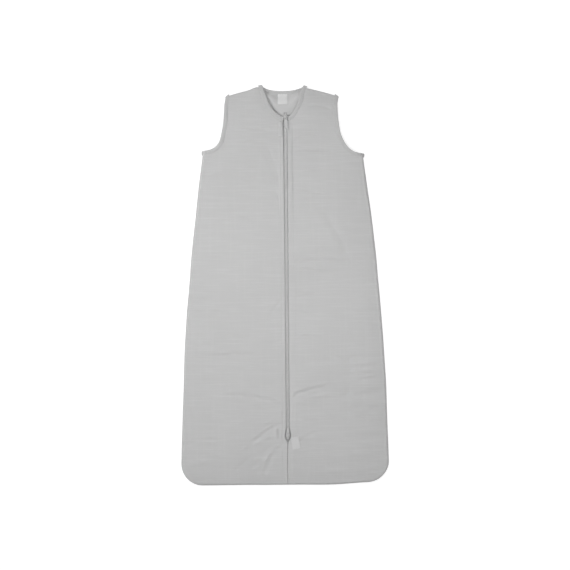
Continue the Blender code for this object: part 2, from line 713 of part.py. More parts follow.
def make_slider(name, middle_y, wide_end, tab_length, tab_half_width, paint, steel):
    """A slider with its cap, lock spring and pull tab. wide_end is 1 where the wide end is at +Y."""

    def at(x, y):
        return ZIP_X + x, middle_y + wide_end * y

    def plan(*points):
        return [at(x, y) for x, y in points]

    def span(low, high):
        ends = sorted((middle_y + wide_end * low, middle_y + wide_end * high))
        return tuple(ends)

    half, wide, mouth = SLIDER_LENGTH / 2, SLIDER_HALF_WIDTH, SLIDER_MOUTH_HALF_WIDTH
    waist, shoulder, nose = SHIELD_WAIST * half, SHIELD_SHOULDER * half, SHIELD_SHOULDER * wide
    shield = plan((-mouth, -half), (mouth, -half), (wide, waist), (wide, shoulder))
    shield += plan((nose, half), (-nose, half), (-wide, shoulder), (-wide, waist))
    shapes = [plate("upper", shield, UPPER_PLATE, UPPER_PLATE_TOP, paint)]
    shapes.append(plate("lower", shield, LOWER_PLATE, LOWER_PLATE_TOP, paint))
    post_x = (ZIP_X - POST_HALF_WIDTH, ZIP_X + POST_HALF_WIDTH)
    post_z = (LOWER_PLATE + PLATE / 2, UPPER_PLATE + PLATE / 2)
    post_end = half - POST_FROM_END
    shapes.append(block("post", post_x, span(post_end - POST_LENGTH, post_end), post_z, paint))
    flange_z = (FRONT_TOP + CLEARANCE, UPPER_PLATE + PLATE / 2)
    for _, sign in SIDES:
        outer = sign * (mouth - FLANGE_FROM_RIM)
        inner = outer - sign * FLANGE_WIDTH
        flange_x = tuple(sorted((ZIP_X + outer, ZIP_X + inner)))
        flange_y = span(-FLANGE_LENGTH / 2 - FLANGE_FROM_MIDDLE, FLANGE_LENGTH / 2 - FLANGE_FROM_MIDDLE)
        shapes.append(block("flange", flange_x, flange_y, flange_z, paint))
    body = joined(f"{name}_slider_body", shapes, paint)

    leg = CAP_HALF_LENGTH - CAP_LEG
    foot = UPPER_PLATE_TOP + CLEARANCE
    long, slope = CAP_HALF_LENGTH, CAP_TOP - CAP_BEVEL
    section = ((-long, foot), (-leg, foot), (-leg, CAP_UNDERSIDE), (leg, CAP_UNDERSIDE), (leg, foot))
    section += ((long, foot), (long, slope), (long - CAP_BEVEL, CAP_TOP))
    section += ((CAP_BEVEL - long, CAP_TOP), (-long, slope))
    rings = [[(*at(x, y), z) for y, z in section] for x in (-CAP_HALF_WIDTH, CAP_HALF_WIDTH)]
    cap = loft(f"{name}_slider_cap", rings, paint)

    rings = []
    reach = leg - CLEARANCE
    for share in (-1.0, -0.5, 0.0, 0.5, 1.0):
        low = SPRING + SPRING_BOW * (1 - share * share)
        high = low + SPRING_THICKNESS
        sides = (-SPRING_HALF_WIDTH, SPRING_HALF_WIDTH)
        ring = [(*at(sides[0], share * reach), low), (*at(sides[1], share * reach), low)]
        ring += [(*at(sides[1], share * reach), high), (*at(sides[0], share * reach), high)]
        rings.append(ring)
    spring = loft(f"{name}_slider_lock_spring", rings, steel)

    axis = (ZIP_X, middle_y, TAB_AXIS)
    hole_half = CAP_HALF_WIDTH + TAB_SIDE_PLAY
    hole_end = CAP_HALF_LENGTH + TAB_END_PLAY
    tab_z = (TAB_AXIS - TAB_THICKNESS / 2, TAB_AXIS + TAB_THICKNESS / 2)
    grip_x = (ZIP_X - tab_half_width, ZIP_X + tab_half_width)
    grip = rounded(grip_x, span(-tab_length, -hole_end), tab_half_width * TAB_CORNER_SHARE)
    shapes = [plate("grip", grip, *tab_z, paint)]
    rail_y = span(-hole_end - tab_half_width * TAB_RAIL_SHARE, 0.0)
    for _, sign in SIDES:
        rail_x = tuple(sorted((ZIP_X + sign * hole_half, ZIP_X + sign * (hole_half + TAB_RAIL))))
        shapes.append(block("rail", rail_x, rail_y, tab_z, paint))
    rings = []
    for x in (ZIP_X - TAB_HALF_WIDTH, ZIP_X + TAB_HALF_WIDTH):
        ring = []
        for step in range(12):
            angle = math.radians(15 + 30 * step)
            y = middle_y + TAB_BAR_RADIUS * math.cos(angle)
            ring.append((x, y, TAB_AXIS + TAB_BAR_RADIUS * math.sin(angle)))
        rings.append(ring)
    shapes.append(loft("bar", rings, paint))
    tab = joined(f"{name}_pull_tab", shapes, paint)

    for piece in (body, cap, spring, tab):
        set_origin(piece, axis)


# Flaps and labels


def make_guard(look):
    across = (ZIP_X - GUARD_HALF_WIDTH, ZIP_X + GUARD_HALF_WIDTH)
    along = (TAPE_BOTTOM_Y, DROP_TOP_Y)
    outline = rounded(across, along, GUARD_CORNER_RADIUS)
    plate("zip_guard", outline, GUARD_TOP - GUARD_THICKNESS, GUARD_TOP, look)


def make_garage(look):
    hinge_x = ZIP_X - GARAGE_FROM_ZIP
    across = (hinge_x - GARAGE_SIZE[0], hinge_x)
    along = (GARAGE_TOP_Y - GARAGE_SIZE[1], GARAGE_TOP_Y)
    low = FRONT_TOP + CLEARANCE
    outline = rounded(across, along, GARAGE_CORNER_RADIUS)
    flap = plate("zip_garage", outline, low, low + GARAGE_THICKNESS, look)
    set_origin(flap, (hinge_x, sum(along) / 2, low + GARAGE_THICKNESS / 2))


def make_labels(look):
    across = (NECK_LABEL_X - NECK_LABEL_SIZE[0] / 2, NECK_LABEL_X + NECK_LABEL_SIZE[0] / 2)
    along = (NECK_LABEL_TOP_Y - NECK_LABEL_SIZE[1], NECK_LABEL_TOP_Y)
    low = BACK_MIDDLE + BACK_LIFT + BINDING_HALF + CLEARANCE
    block("neck_label", across, along, (low, low + LABEL_THICKNESS), look)

    hinge_x = ZIP_X + SIDE_LABEL_FROM_ZIP
    top_y = BOTTOM_SLIDER_Y - SLIDER_LENGTH / 2
    along = (top_y - SIDE_LABEL_SIZE[1], top_y)
    low = FRONT_TOP + CLEARANCE
    span = (hinge_x, hinge_x + SIDE_LABEL_SIZE[0])
    flag = block("side_label", span, along, (low, low + LABEL_THICKNESS), look)
    set_origin(flag, (hinge_x, sum(along) / 2, low + LABEL_THICKNESS / 2))


def main():
    clear_scene()
    muslin = material("muslin", (0.50, 0.50, 0.49), 0.95)
    lining = material("lining", (0.56, 0.56, 0.55), 0.95)
    binding = material("binding", (0.48, 0.48, 0.47), 0.92)
    thread = material("overlock_thread", (0.52, 0.52, 0.51), 0.90)
    tape = material("zip_tape", (0.42, 0.42, 0.41), 0.85)
    nylon = material("nylon_coil", (0.46, 0.46, 0.45), 0.45)
    paint = material("painted_zinc", (0.50, 0.50, 0.49), 0.40, 0.3)
    steel = material("spring_steel", (0.60, 0.60, 0.60), 0.30, 1.0)
    satin = material("label_satin", (0.62, 0.62, 0.61), 0.60)

    make_panels(muslin, lining)
    make_side_and_shoulder_seams(thread)
    make_hem_seam(thread)
    for side, sign in SIDES:
        make_armhole_binding(side, sign, binding)
    make_neck_binding(binding)
    make_tapes(tape)
    make_coils(nylon)
    make_top_stops(paint)
    make_bottom_stop(paint)
    make_slider("top", TOP_SLIDER_Y, 1, TOP_TAB_LENGTH, TOP_TAB_HALF_WIDTH, paint, steel)
    make_slider("bottom", BOTTOM_SLIDER_Y, -1, BOTTOM_TAB_LENGTH, BOTTOM_TAB_HALF_WIDTH, paint, steel)
    make_guard(lining)
    make_garage(muslin)
    make_labels(satin)


main()
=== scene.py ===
"""Looks of the baby sleeping bag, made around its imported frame. Metres, +Z up, head end at +Y.

Every cloth layer is cut to the bag's flat pattern and laid at its own height, with the crinkle, folds
and seam puckers of a washed muslin. Left and right are as seen from above.
"""

import math

import bmesh
import bpy
import numpy as np
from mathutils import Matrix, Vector


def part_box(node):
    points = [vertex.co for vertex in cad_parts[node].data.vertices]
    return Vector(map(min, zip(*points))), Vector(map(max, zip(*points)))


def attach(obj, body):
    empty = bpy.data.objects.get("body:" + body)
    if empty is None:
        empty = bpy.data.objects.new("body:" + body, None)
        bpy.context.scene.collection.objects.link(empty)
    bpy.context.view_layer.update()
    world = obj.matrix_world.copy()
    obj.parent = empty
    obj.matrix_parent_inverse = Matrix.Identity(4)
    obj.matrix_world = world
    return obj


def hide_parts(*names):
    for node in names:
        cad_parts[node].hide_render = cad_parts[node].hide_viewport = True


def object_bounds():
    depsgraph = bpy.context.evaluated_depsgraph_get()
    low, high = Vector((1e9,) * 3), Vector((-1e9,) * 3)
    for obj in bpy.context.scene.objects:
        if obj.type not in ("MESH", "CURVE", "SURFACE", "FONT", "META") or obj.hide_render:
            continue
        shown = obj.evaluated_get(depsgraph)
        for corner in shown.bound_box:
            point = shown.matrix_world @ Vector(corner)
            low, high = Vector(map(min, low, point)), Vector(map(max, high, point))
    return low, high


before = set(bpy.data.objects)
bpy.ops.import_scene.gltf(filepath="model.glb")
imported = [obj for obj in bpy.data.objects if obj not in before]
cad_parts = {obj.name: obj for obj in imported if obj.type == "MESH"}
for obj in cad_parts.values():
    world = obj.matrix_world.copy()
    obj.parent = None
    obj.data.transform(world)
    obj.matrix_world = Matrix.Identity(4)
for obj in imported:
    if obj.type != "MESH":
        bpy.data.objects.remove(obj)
cad_low, cad_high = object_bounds()

MM = 0.001

# The flat pattern: half widths from the bag's centre line, and places along it.
PANEL_LOW, PANEL_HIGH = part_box("back_panel")
HEM_Y = PANEL_LOW.y
HEM_CORNER = 0.0480
HEM_HALF_WIDTH = PANEL_HIGH.x
SIDE_BULGE = (0.2210, 0.0140)
ARMPIT = (0.1788, 0.2985)
ARMHOLE_BULGES = ((0.1460, 0.3010), (0.1262, 0.3150))
SHOULDER_TIP = (0.1270, 0.4250)
NECK_POINT = (0.0485, 0.4460)
BACK_NECK_Y = 0.4365
BACK_NECK_BULGE_X = 0.0360
FRONT_NECK_Y = 0.3773
FRONT_NECK_ROUND = (0.0155, 0.3785)
FRONT_NECK_BULGE = (0.0335, 0.4000)

# Zip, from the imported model.
CAP_LOW, CAP_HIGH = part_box("top_slider_cap")
ZIP_X = (CAP_LOW.x + CAP_HIGH.x) / 2
COIL_LOW, COIL_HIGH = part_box("zip_coil_right")
TAPE_LOW, TAPE_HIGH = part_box("zip_tape_right")
BOTTOM_Y = sum(corner.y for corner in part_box("bottom_slider_cap")) / 2

# Heights of the layers.
FABRIC = 1.00 * MM
LINING = 0.80 * MM
SANDWICH_HALF = 1.25 * MM
PINCHED_HALF = 0.98 * MM
BINDING_WIDTH = 9.0 * MM
BOUND_INSET = 1.2 * MM
BACK_LIFT = 0.85 * MM
FRONT_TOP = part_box("front_panel_left")[1].z
FRONT_PUFF = 12.0 * MM
FRONT_EDGE = FRONT_TOP - SANDWICH_HALF - FRONT_PUFF
SEAM_ROLL = 4.5 * MM

# How far in from a seam its fold and its raw edges lie, and where the linings stop.
SEAM_EDGES = (0.5 * MM, 8.0 * MM)
LINING_INSET = 8.6 * MM

LEFT, RIGHT = -1, 1
SIDE_NAMES = {LEFT: "left", RIGHT: "right"}


# Shader nodes


class Wire:
    """One output of a material's nodes, which arithmetic turns into Math nodes."""

    def __init__(self, shade, socket):
        self.shade, self.socket = shade, socket

    def math(self, operation, *others):
        sockets = dict(enumerate((self, *others)))
        return self.shade.node("Math", {"operation": operation}, sockets)

    def __add__(self, other):
        return self.math("ADD", other)

    def __radd__(self, other):
        return self.math("ADD", other)

    def __mul__(self, other):
        return self.math("MULTIPLY", other)

    def __rmul__(self, other):
        return self.math("MULTIPLY", other)

    def __sub__(self, other):
        return self.math("SUBTRACT", other)

    def __rsub__(self, other):
        return self.math("MULTIPLY", -1.0).math("ADD", other)

    def sine(self):
        return self.math("SINE")

    def between(self, low, high):
        """0 below low, 1 above high, smooth between."""
        sockets = {"Value": self, "From Min": low, "From Max": high}
        return self.shade.node("MapRange", {"interpolation_type": "SMOOTHSTEP"}, sockets)


class Shade:
    """The nodes of one material."""

    def __init__(self, name):
        self.material = bpy.data.materials.new(name)
        self.material.use_nodes = True
        self.tree = self.material.node_tree
        self.tree.nodes.clear()

    def node(self, kind, settings=None, sockets=None, output=0):
        made = self.tree.nodes.new("ShaderNode" + kind)
        for setting, value in (settings or {}).items():
            setattr(made, setting, value)
        for socket, value in (sockets or {}).items():
            if isinstance(value, Wire):
                self.tree.links.new(value.socket, made.inputs[socket])
            else:
                made.inputs[socket].default_value = value
        return Wire(self, made.outputs[output])

    def place(self):
        return self.node("TexCoord", output="Object")

    def axis(self, name):
        return self.node("SeparateXYZ", None, {0: self.place()}, name)

    def noise(self, scale, detail=2.0, roughness=0.5):
        """Noise with its own scale along each axis, in features a metre."""
        stretched = self.node("VectorMath", {"operation": "MULTIPLY"}, {0: self.place(), 1: scale})
        sockets = {"Vector": stretched, "Scale": 1.0, "Detail": detail, "Roughness": roughness}
        return self.node("TexNoise", None, sockets)

    def ribs(self, place, pitch):
        """Even ribs along a place: 1 on a rib and 0 between two."""
        return (place * (2 * math.pi / pitch)).sine() * 0.5 + 0.5

    def colour(self, share, low, high):
        """A colour between two others."""
        sockets = {0: share, 6: low, 7: high}
        return self.node("Mix", {"data_type": "RGBA"}, sockets, 2)

    def bump(self, height, distance, strength=1.0):
        sockets = {"Height": height, "Distance": distance, "Strength": strength}
        return self.node("Bump", None, sockets)

    def surface(self, **values):
        """The Principled surface. Names are its sockets, with _ for a space."""
        sockets = {name.replace("_", " "): value for name, value in values.items()}
        shader = self.node("BsdfPrincipled", None, sockets)
        self.node_out(shader)
        return self.material

    def finish(self, tone, darkest, palest, height, depth, strength, **more):
        """A surface between two greys, with a relief of this depth in millimetres."""
        colour = self.colour(tone, grey(darkest), grey(palest))
        return self.surface(Base_Color=colour, Normal=self.bump(height, depth * MM, strength), **more)

    def node_out(self, shader):
        end = self.tree.nodes.new("ShaderNodeOutputMaterial")
        self.tree.links.new(shader.socket, end.inputs["Surface"])


def grey(value):
    return (value, value, value, 1.0)


THREAD_PITCH = 0.9 * MM


def plain_weave(shade, pitch):
    """Height of a plain weave: 1 on top of a thread and 0 between threads."""
    turn = 2 * math.pi / pitch
    wander = shade.noise((90, 90, 90), 1.0) * 1.6
    warp = (shade.axis("X") * turn + wander).sine()
    weft = (shade.axis("Y") * turn + wander).sine()
    return (warp * 0.5 + 0.5) * 0.5 + (weft * 0.5 + 0.5) * 0.5


def muslin_finish():
    """Washed cotton muslin: an open plain weave with thick-and-thin weft threads and dry creases."""
    shade = Shade("washed_muslin")
    weave = plain_weave(shade, THREAD_PITCH)
    slub = shade.noise((16, 520, 30), 2.0, 0.55).between(0.46, 0.72)
    streak = shade.noise((260, 9, 30), 1.0).between(0.50, 0.78)
    cloud = shade.noise((9, 7, 9), 2.0)
    tone = weave * 0.24 + slub * 0.24 + streak * 0.10 + cloud * 0.42
    crepe = shade.noise((70, 330, 60), 3.0, 0.6)
    height = weave * 0.30 + slub * 0.35 + crepe * 0.55
    surface = {"Roughness": 0.97 - slub * 0.10, "Sheen_Weight": 0.12, "Sheen_Roughness": 0.5}
    return shade.finish(tone.between(0.05, 0.95), 0.482, 0.545, height, 0.30, 0.75, **surface)


def lining_finish():
    """Smooth cotton jersey: fine knitted ribs along the bag."""
    shade = Shade("cotton_lining")
    wander = shade.noise((60, 8, 60), 1.0) * 2.0
    rib = (shade.axis("X") * (2 * math.pi / (1.1 * MM)) + wander).sine() * 0.5 + 0.5
    loops = shade.ribs(shade.axis("Y"), 0.8 * MM)
    knit = rib * 0.6 + loops * 0.4
    cloud = shade.noise((14, 10, 14), 2.0)
    surface = {"Roughness": 0.95 - knit * 0.06, "Sheen_Weight": 0.10}
    return shade.finish(knit * 0.4 + cloud * 0.6, 0.50, 0.58, knit, 0.22, 0.6, **surface)


def shaded_binding_finish():
    """Bias-cut muslin tape: its threads run across it at 45 degrees. Its greys are darker than the body's
    muslin, as painted shade that keeps the raised binding from looking lighter.
    """
    shade = Shade("bias_binding_painted_shade")
    x, y = shade.axis("X"), shade.axis("Y")
    weave = shade.ribs(x + y, 1.0 * MM) * 0.5 + shade.ribs(x - y, 1.0 * MM) * 0.5
    cloud = shade.noise((60, 60, 60), 3.0)
    tone, height = weave * 0.35 + cloud * 0.65, weave * 0.5 + cloud * 0.6
    surface = {"Roughness": 0.94 - weave * 0.06, "Sheen_Weight": 0.12}
    # Darker greys than the body's muslin: painted shade on the binding's raised band.
    return shade.finish(tone, 0.440, 0.515, height, 0.25, 0.7, **surface)


def thread_finish(name, value):
    """Spun polyester thread with its plies."""
    shade = Shade(name)
    ply = shade.noise((2600, 2600, 2600), 1.0)
    return shade.finish(ply, value * 0.88, value * 1.08, ply, 0.10, 0.6, Roughness=0.72 + ply * 0.12)


def shaded_tape_finish():
    """Woven zip tape: a herringbone of fine ribs, in greys darker than the bag's as painted shade of the gap
    beside the coil.
    """
    shade = Shade("woven_zip_tape_painted_shade")
    across = (shade.axis("X") * (2 * math.pi / (2.4 * MM))).sine()
    rib = (shade.axis("Y") * (2 * math.pi / (0.7 * MM)) + across * 2.2).sine() * 0.5 + 0.5
    # The tape's darker greys are painted shade for the deep gap between the coil and the placket's edge.
    return shade.finish(rib, 0.27, 0.37, rib, 0.15, 0.8, Roughness=0.90 - rib * 0.08)


def coil_finish():
    """Drawn nylon wire: satin, with faint draw lines."""
    shade = Shade("nylon_coil_wire")
    lines = shade.noise((60, 2400, 2400), 2.0)
    return shade.finish(lines, 0.71, 0.79, lines, 0.04, 0.5, Roughness=0.38 + lines * 0.14)


def paint_finish():
    """Grey enamel on cast zinc, rubbed thin on its edges."""
    shade = Shade("enamelled_zinc")
    rubbed = shade.node("NewGeometry", output="Pointiness").between(0.53, 0.62)
    wear = rubbed * shade.noise((900, 900, 900), 3.0).between(0.42, 0.62)
    orange_peel = shade.noise((1500, 1500, 1500), 2.0)
    surface = {"Roughness": 0.34 + orange_peel * 0.10 - wear * 0.08, "Metallic": wear * 0.8}
    return shade.finish(wear, 0.47, 0.62, orange_peel, 0.03, 0.5, **surface)


def steel_finish():
    """Spring steel with a brushed grain along the strip."""
    shade = Shade("brushed_spring_steel")
    grain = shade.noise((4000, 160, 4000), 2.0)
    return shade.finish(grain, 0.52, 0.64, grain, 0.02, 0.5, Roughness=0.26 + grain * 0.16, Metallic=1.0)


def satin_finish(name, value):
    """Blank woven satin: long floats across the label, with a firm edge."""
    shade = Shade(name)
    floats = shade.noise((180, 3200, 200), 2.0)
    ribs = shade.ribs(shade.axis("Y"), 0.6 * MM)
    tone, height = floats * 0.6 + ribs * 0.4, floats * 0.5 + ribs * 0.5
    surface = {"Roughness": 0.48 + floats * 0.18, "Sheen_Weight": 0.1}
    return shade.finish(tone, value - 0.04, value + 0.04, height, 0.08, 0.6, **surface)


# Curves and fields on the flat pattern


def bezier(controls, steps=240):
    """Points of the Bezier curve with these control points."""
    t = np.linspace(0, 1, steps + 1)[:, None]
    points = [np.array(control, float)[None] for control in controls]
    while len(points) > 1:
        points = [a + (b - a) * t for a, b in zip(points, points[1:])]
    return points[0]


def lengths(line):
    return np.concatenate([[0.0], np.cumsum(np.linalg.norm(np.diff(line, axis=0), axis=1))])


def at_lengths(line, marks):
    """Points of a line at these distances along it."""
    run = lengths(line)
    return np.stack([np.interp(marks, run, line[:, k]) for k in range(line.shape[1])], -1)


def unit(rows):
    """Each vector of an array, made one long."""
    return rows / np.linalg.norm(rows, axis=-1)[..., None]


def left_normals(line):
    along = unit(np.gradient(line, axis=0))
    return np.stack([-along[:, 1], along[:, 0]], -1)


def inset(line, width):
    return line + width * left_normals(line)


def mirrored(line, sign):
    return line * np.array([sign, 1.0])


def spread(length, count, first=(), last=()):
    """count places from 0 to length: fixed ones near the ends, and even ones between."""
    first, last = np.array(first) * MM, np.array(last) * MM
    low = first[-1] if len(first) else 0.0
    high = length - (last[-1] if len(last) else 0.0)
    middle = np.linspace(low, high, count - len(first) - len(last) + (len(first) > 0) + (len(last) > 0))
    middle = middle[(len(first) > 0):len(middle) - (len(last) > 0)]
    return np.concatenate([first, middle, (length - last)[::-1]])


def distance_to(line, x, y):
    """Distance of each place from a line."""
    found = np.full(x.shape, 9.0)
    for (ax, ay), (bx, by) in zip(line, line[1:]):
        dx, dy = bx - ax, by - ay
        share = np.clip(((x - ax) * dx + (y - ay) * dy) / (dx * dx + dy * dy), 0, 1)
        found = np.minimum(found, np.hypot(x - ax - share * dx, y - ay - share * dy))
    return found


def blend(value, start, end):
    share = np.clip((value - start) / (end - start), 0, 1)
    return share * share * (3 - 2 * share)


def bell(value, middle, width):
    return np.exp(-(((value - middle) / width) ** 2))


def rise(distance, reach):
    return np.sin(math.pi / 2 * np.clip(distance / reach, 0, 1))


def noise(x, y, size_x, size_y, seed):
    """Smooth noise from -1 to 1, in features of this size."""
    table = np.random.RandomState(seed).uniform(-1, 1, (256, 256))
    u, v = x / size_x + 64.0, y / size_y + 64.0
    i, j = np.floor(u).astype(int), np.floor(v).astype(int)
    s, t = u - i, v - j
    s, t = s * s * s * (s * (6 * s - 15) + 10), t * t * t * (t * (6 * t - 15) + 10)
    low = table[i % 256, j % 256] * (1 - s) + table[(i + 1) % 256, j % 256] * s
    high = table[i % 256, (j + 1) % 256] * (1 - s) + table[(i + 1) % 256, (j + 1) % 256] * s
    return low * (1 - t) + high * t


CORNER_CENTRE = np.array((HEM_HALF_WIDTH - HEM_CORNER, HEM_Y + HEM_CORNER))
CORNER_TURN = np.radians(np.linspace(-90, 0, 25))[:, None]
CORNER_LINE = CORNER_CENTRE + HEM_CORNER * np.hstack([np.cos(CORNER_TURN), np.sin(CORNER_TURN)])
SIDE_LINE = bezier(((HEM_HALF_WIDTH, HEM_Y + HEM_CORNER), SIDE_BULGE, ARMPIT), 60)
SEWN_LINE = np.vstack([CORNER_LINE, SIDE_LINE[1:]])
ARMHOLE_LINE = bezier((ARMPIT, *ARMHOLE_BULGES, SHOULDER_TIP))
BACK_NECK_LINE = bezier((NECK_POINT, (BACK_NECK_BULGE_X, BACK_NECK_Y), (0.0, BACK_NECK_Y)))
SHOULDER_LINE = np.array((SHOULDER_TIP, NECK_POINT))
HEM_TO_CORNER = np.vstack([[(0.0, HEM_Y)], SEWN_LINE])


def front_neck_line(sign, start):
    """The front neckline of one side, from this far off the zip's middle up to the neck point."""
    controls = (
        (ZIP_X + sign * start, FRONT_NECK_Y),
        (ZIP_X + sign * FRONT_NECK_ROUND[0], FRONT_NECK_ROUND[1]),
        (sign * FRONT_NECK_BULGE[0], FRONT_NECK_BULGE[1]),
        (sign * NECK_POINT[0], NECK_POINT[1]),
    )
    return bezier(controls)


NECK_START = 4.7 * MM


def front_middle(x, y):
    """Height of the middle of the front's two layers."""
    inside = np.interp(y, SEWN_LINE[:, 1], SEWN_LINE[:, 0]) - np.abs(x)
    above = np.hypot(ARMPIT[0] - np.abs(x), y - ARMPIT[1])
    side = np.where(y <= ARMPIT[1], inside, above)
    puff = 0.46 * rise(side, 4.0 * MM) + 0.22 * rise(side, 45 * MM) + 0.32 * rise(side, 150 * MM)
    foot = y - HEM_Y
    puff = puff * (0.52 * rise(foot, 4 * MM) + 0.20 * rise(foot, 36 * MM) + 0.28 * rise(foot, 90 * MM))
    puff = puff * rise(distance_to(SHOULDER_LINE, np.abs(x), y), 60 * MM)
    return FRONT_EDGE + FRONT_PUFF * puff


def back_middle(x, y):
    """Height of the middle of the back's two layers."""
    return SANDWICH_HALF + BACK_LIFT * blend(y, ARMPIT[1] - 50 * MM, ARMPIT[1] - 10 * MM)


def seam_height(x, y):
    """Where front and back meet along a sewn edge."""
    return (FRONT_EDGE + back_middle(x, y)) / 2


def settled(points):
    """The small sideways shifts of a bag laid down by hand, which leave the zip straight."""
    points = np.array(points, float)
    x, y = points[..., 0].copy(), points[..., 1].copy()
    sign, out = np.sign(x), np.abs(x)
    free = blend(np.abs(x - ZIP_X), 25 * MM, 90 * MM) * 0.8
    across = free * noise(x, y, 0.11, 0.075, 31)
    along = free * noise(x, y, 0.080, 0.12, 32)
    chest = blend(y, 0.310, 0.345) * (1 - blend(y, 0.405, 0.430))
    across -= 2.4 * chest * blend(out, 0.060, 0.110)
    across += 3.0 * bell(x, 0.0, 0.080) * blend(y, 0.385, 0.425)
    across += 3.8 * bell(x, -0.050, 0.030) * blend(y, 0.395, 0.435)
    across -= 5.5 * bell(x, 0.045, 0.020) * bell(y, 0.436, 0.016)
    across += 1.6 * blend(out, 0.100, 0.200) * np.where(x > 0, blend(y, -0.445, -0.390), 1.0)
    across += sign * 2.4 * blend(out, 0.100, 0.200) * bell(y, -0.110, 0.200)
    along -= np.where(x < 0, -3.5, 4.6) * bell(out, 0.172, 0.045) * bell(y, 0.300, 0.060)
    along += 4.2 * blend(x, 0.110, 0.205) * (1 - blend(y, -0.440, -0.360))
    along -= 1.6 * blend(x, 0.030, 0.060) * blend(y, 0.390, 0.430)
    along -= 1.2 * blend(out, 0.105, 0.127) * blend(y, 0.390, 0.430)
    along -= 4.4 * blend(out, 0.117, 0.130) * blend(y, 0.395, 0.430)
    along += 2.6 * bell(x, -0.064, 0.009) * blend(y, 0.410, 0.440)
    points[..., 0] += across * MM
    points[..., 1] += along * MM
    return points


# Folds and creases of the front, in millimetres: the two ends, the width and the depth. A negative
# depth is a ridge.
CREASES = (
    (-19.5, -315, -18, -342, 3.4, -0.55), (-27, -316, -33, -340, 3, 0.4), (-25, -358, -13, -355.5, 1.6, 0.45),
    (-13, -330, -12.5, -352, 1.8, 0.35), (18, -251, 88, -229, 4, 1.1), (30, -262, 110, -247, 5, -0.55),
    (150, -190, 228, -186, 4.5, 0.6), (140, -203, 226, -205, 3.5, 0.6), (160, -217, 230, -213, 3.5, 0.5),
    (120, -247, 225, -258, 12, 1.1), (130, -278, 230, -290, 10, 0.9), (110, -300, 226, -315, 8, 0.5),
    (135, -95, 137, -300, 7, 0.45), (-122, -246, -8, -268, 4, 0.7), (-120, -256, -20, -276, 5, -0.45),
    (-210, -250, -196, -305, 9, 0.6), (-83, -366, -12, -312, 4.5, 0.8), (-95, -372, -30, -340, 5, -0.55),
    (-60, -330, -8, -302, 4, 0.5), (-40, -347, -26, -348, 2.2, 0.6), (-20, -365.5, -7, -366.5, 1.8, 0.6),
    (-18, -314, -27, -334, 2.4, 0.6), (-6.5, -334, -7, -370, 2, 0.5), (-52, -442, -13, -366, 5, 0.55),
    (-80, -440, -32, -378, 5, -0.35), (-110, -415, -45, -372, 5, 0.4), (-39, -82, -4, -34, 4, 0.55),
    (-30, -50, -6, -62, 3, 0.4), (17, 47, 120, 52, 2.8, 0.6), (24, 32, 100, 27, 2.8, 0.55),
    (30, -28, 85, -22, 3, 0.45), (18, -123, 75, -118, 3, 0.6), (20, -62, 60, -66, 3, 0.4),
    (-178, 241, -12, 238, 2.8, 0.6), (-150, 262, -70, 266, 2.6, 0.4), (-82, 232, -6, 196, 3.4, 0.45),
    (-74, 212, -20, 184, 3.5, 0.45), (-40, 318, -12, 252, 5, 0.45), (-52, 300, -22, 232, 5, -0.25),
    (-20, 222, -4, 160, 4, 0.45), (104, 150, 144, 52, 8, 0.5), (86, 152, 122, 62, 8, -0.25),
    (24, 212, 116, 196, 3.6, 0.6), (40, 186, 90, 190, 3.6, -0.35), (28, 250, 120, 258, 2.8, 0.45),
    (20, 330, 98, 336, 2.8, 0.5), (34, 300, 110, 297, 3, 0.4), (-110, 352, -34, 346, 3, 0.45),
    (-100, 318, -30, 322, 2.6, 0.35), (-104, 384, -56, 378, 3, 0.4), (64, 402, 112, 394, 3.4, 0.45),
    (-150, 150, -60, 146, 2.6, 0.4), (-196, 62, -80, 60, 2.6, 0.35), (-205, -60, -120, -64, 2.6, 0.35),
    (-190, -164, -50, -158, 2.8, 0.45), (60, -172, 190, -166, 2.8, 0.4), (85, -420, 132, -421, 8, -0.6),
    (30, -352, 80, -330, 4, 0.35), (-206, -352, -140, -346, 4, 0.4), (-214, -404, -176, -392, 6, -0.5),
)
CREASE_DEPTH = 2.2


def crease(x, y, x0, y0, x1, y1, width, depth):
    """A soft fold: a valley with a low bank on its upper side, gently bowed and fading at its ends."""
    x0, y0, x1, y1 = x0 * MM, y0 * MM, x1 * MM, y1 * MM
    length = math.hypot(x1 - x0, y1 - y0)
    along = ((x - x0) * (x1 - x0) + (y - y0) * (y1 - y0)) / length
    across = ((y - y0) * (x1 - x0) - (x - x0) * (y1 - y0)) / length
    across = across - 0.05 * length * np.sin(math.pi * np.clip(along / length, -0.5, 1.5))
    across = (across + noise(x, y, 0.016, 0.016, 77) * 2.0 * MM) / (width * MM)
    past = np.maximum(0, np.maximum(-along, along - length)) / (0.18 * length)
    taper = bell(past, 0, 1) * (0.55 + 0.45 * np.sin(math.pi * np.clip(along / length, 0, 1)))
    taper = taper * (0.85 + 0.45 * noise(x, y, 0.012, 0.012, 78))
    profile = 0.45 * bell(across, 1.7, 1) - bell(across, 0, 1)
    return depth * MM * taper * profile


def crinkle(x, y):
    """Height that the washed cloth's crinkles and folds add."""
    lines = noise(x, y, 0.034, 0.0052, 3) * 0.27
    lines += noise(x, y, 0.060, 0.0085, 4) * 0.38
    lines += noise(x, y, 0.013, 0.0044, 5) * 0.12
    blisters = noise(x, y, 0.021, 0.017, 6) * 0.38
    waves = noise(x, y, 0.120, 0.060, 7) * 0.60 + noise(x, y, 0.075, 0.160, 8) * 0.40
    swell = noise(x, y, 0.240, 0.260, 9) * 0.80
    patchy = 0.65 + 0.55 * noise(x, y, 0.070, 0.085, 10)
    patchy = patchy + 0.45 * blend(np.abs(x), 0.110, 0.190) * blend(-y, -0.250, 0.050)
    found = (lines * patchy + blisters + waves + swell) * MM
    for fold in CREASES:
        found = found + CREASE_DEPTH * crease(x, y, *fold)
    return found


TOPSTITCH_LEFT = ZIP_X - 11.0 * MM
TOPSTITCH_RIGHT = ZIP_X + 17.0 * MM


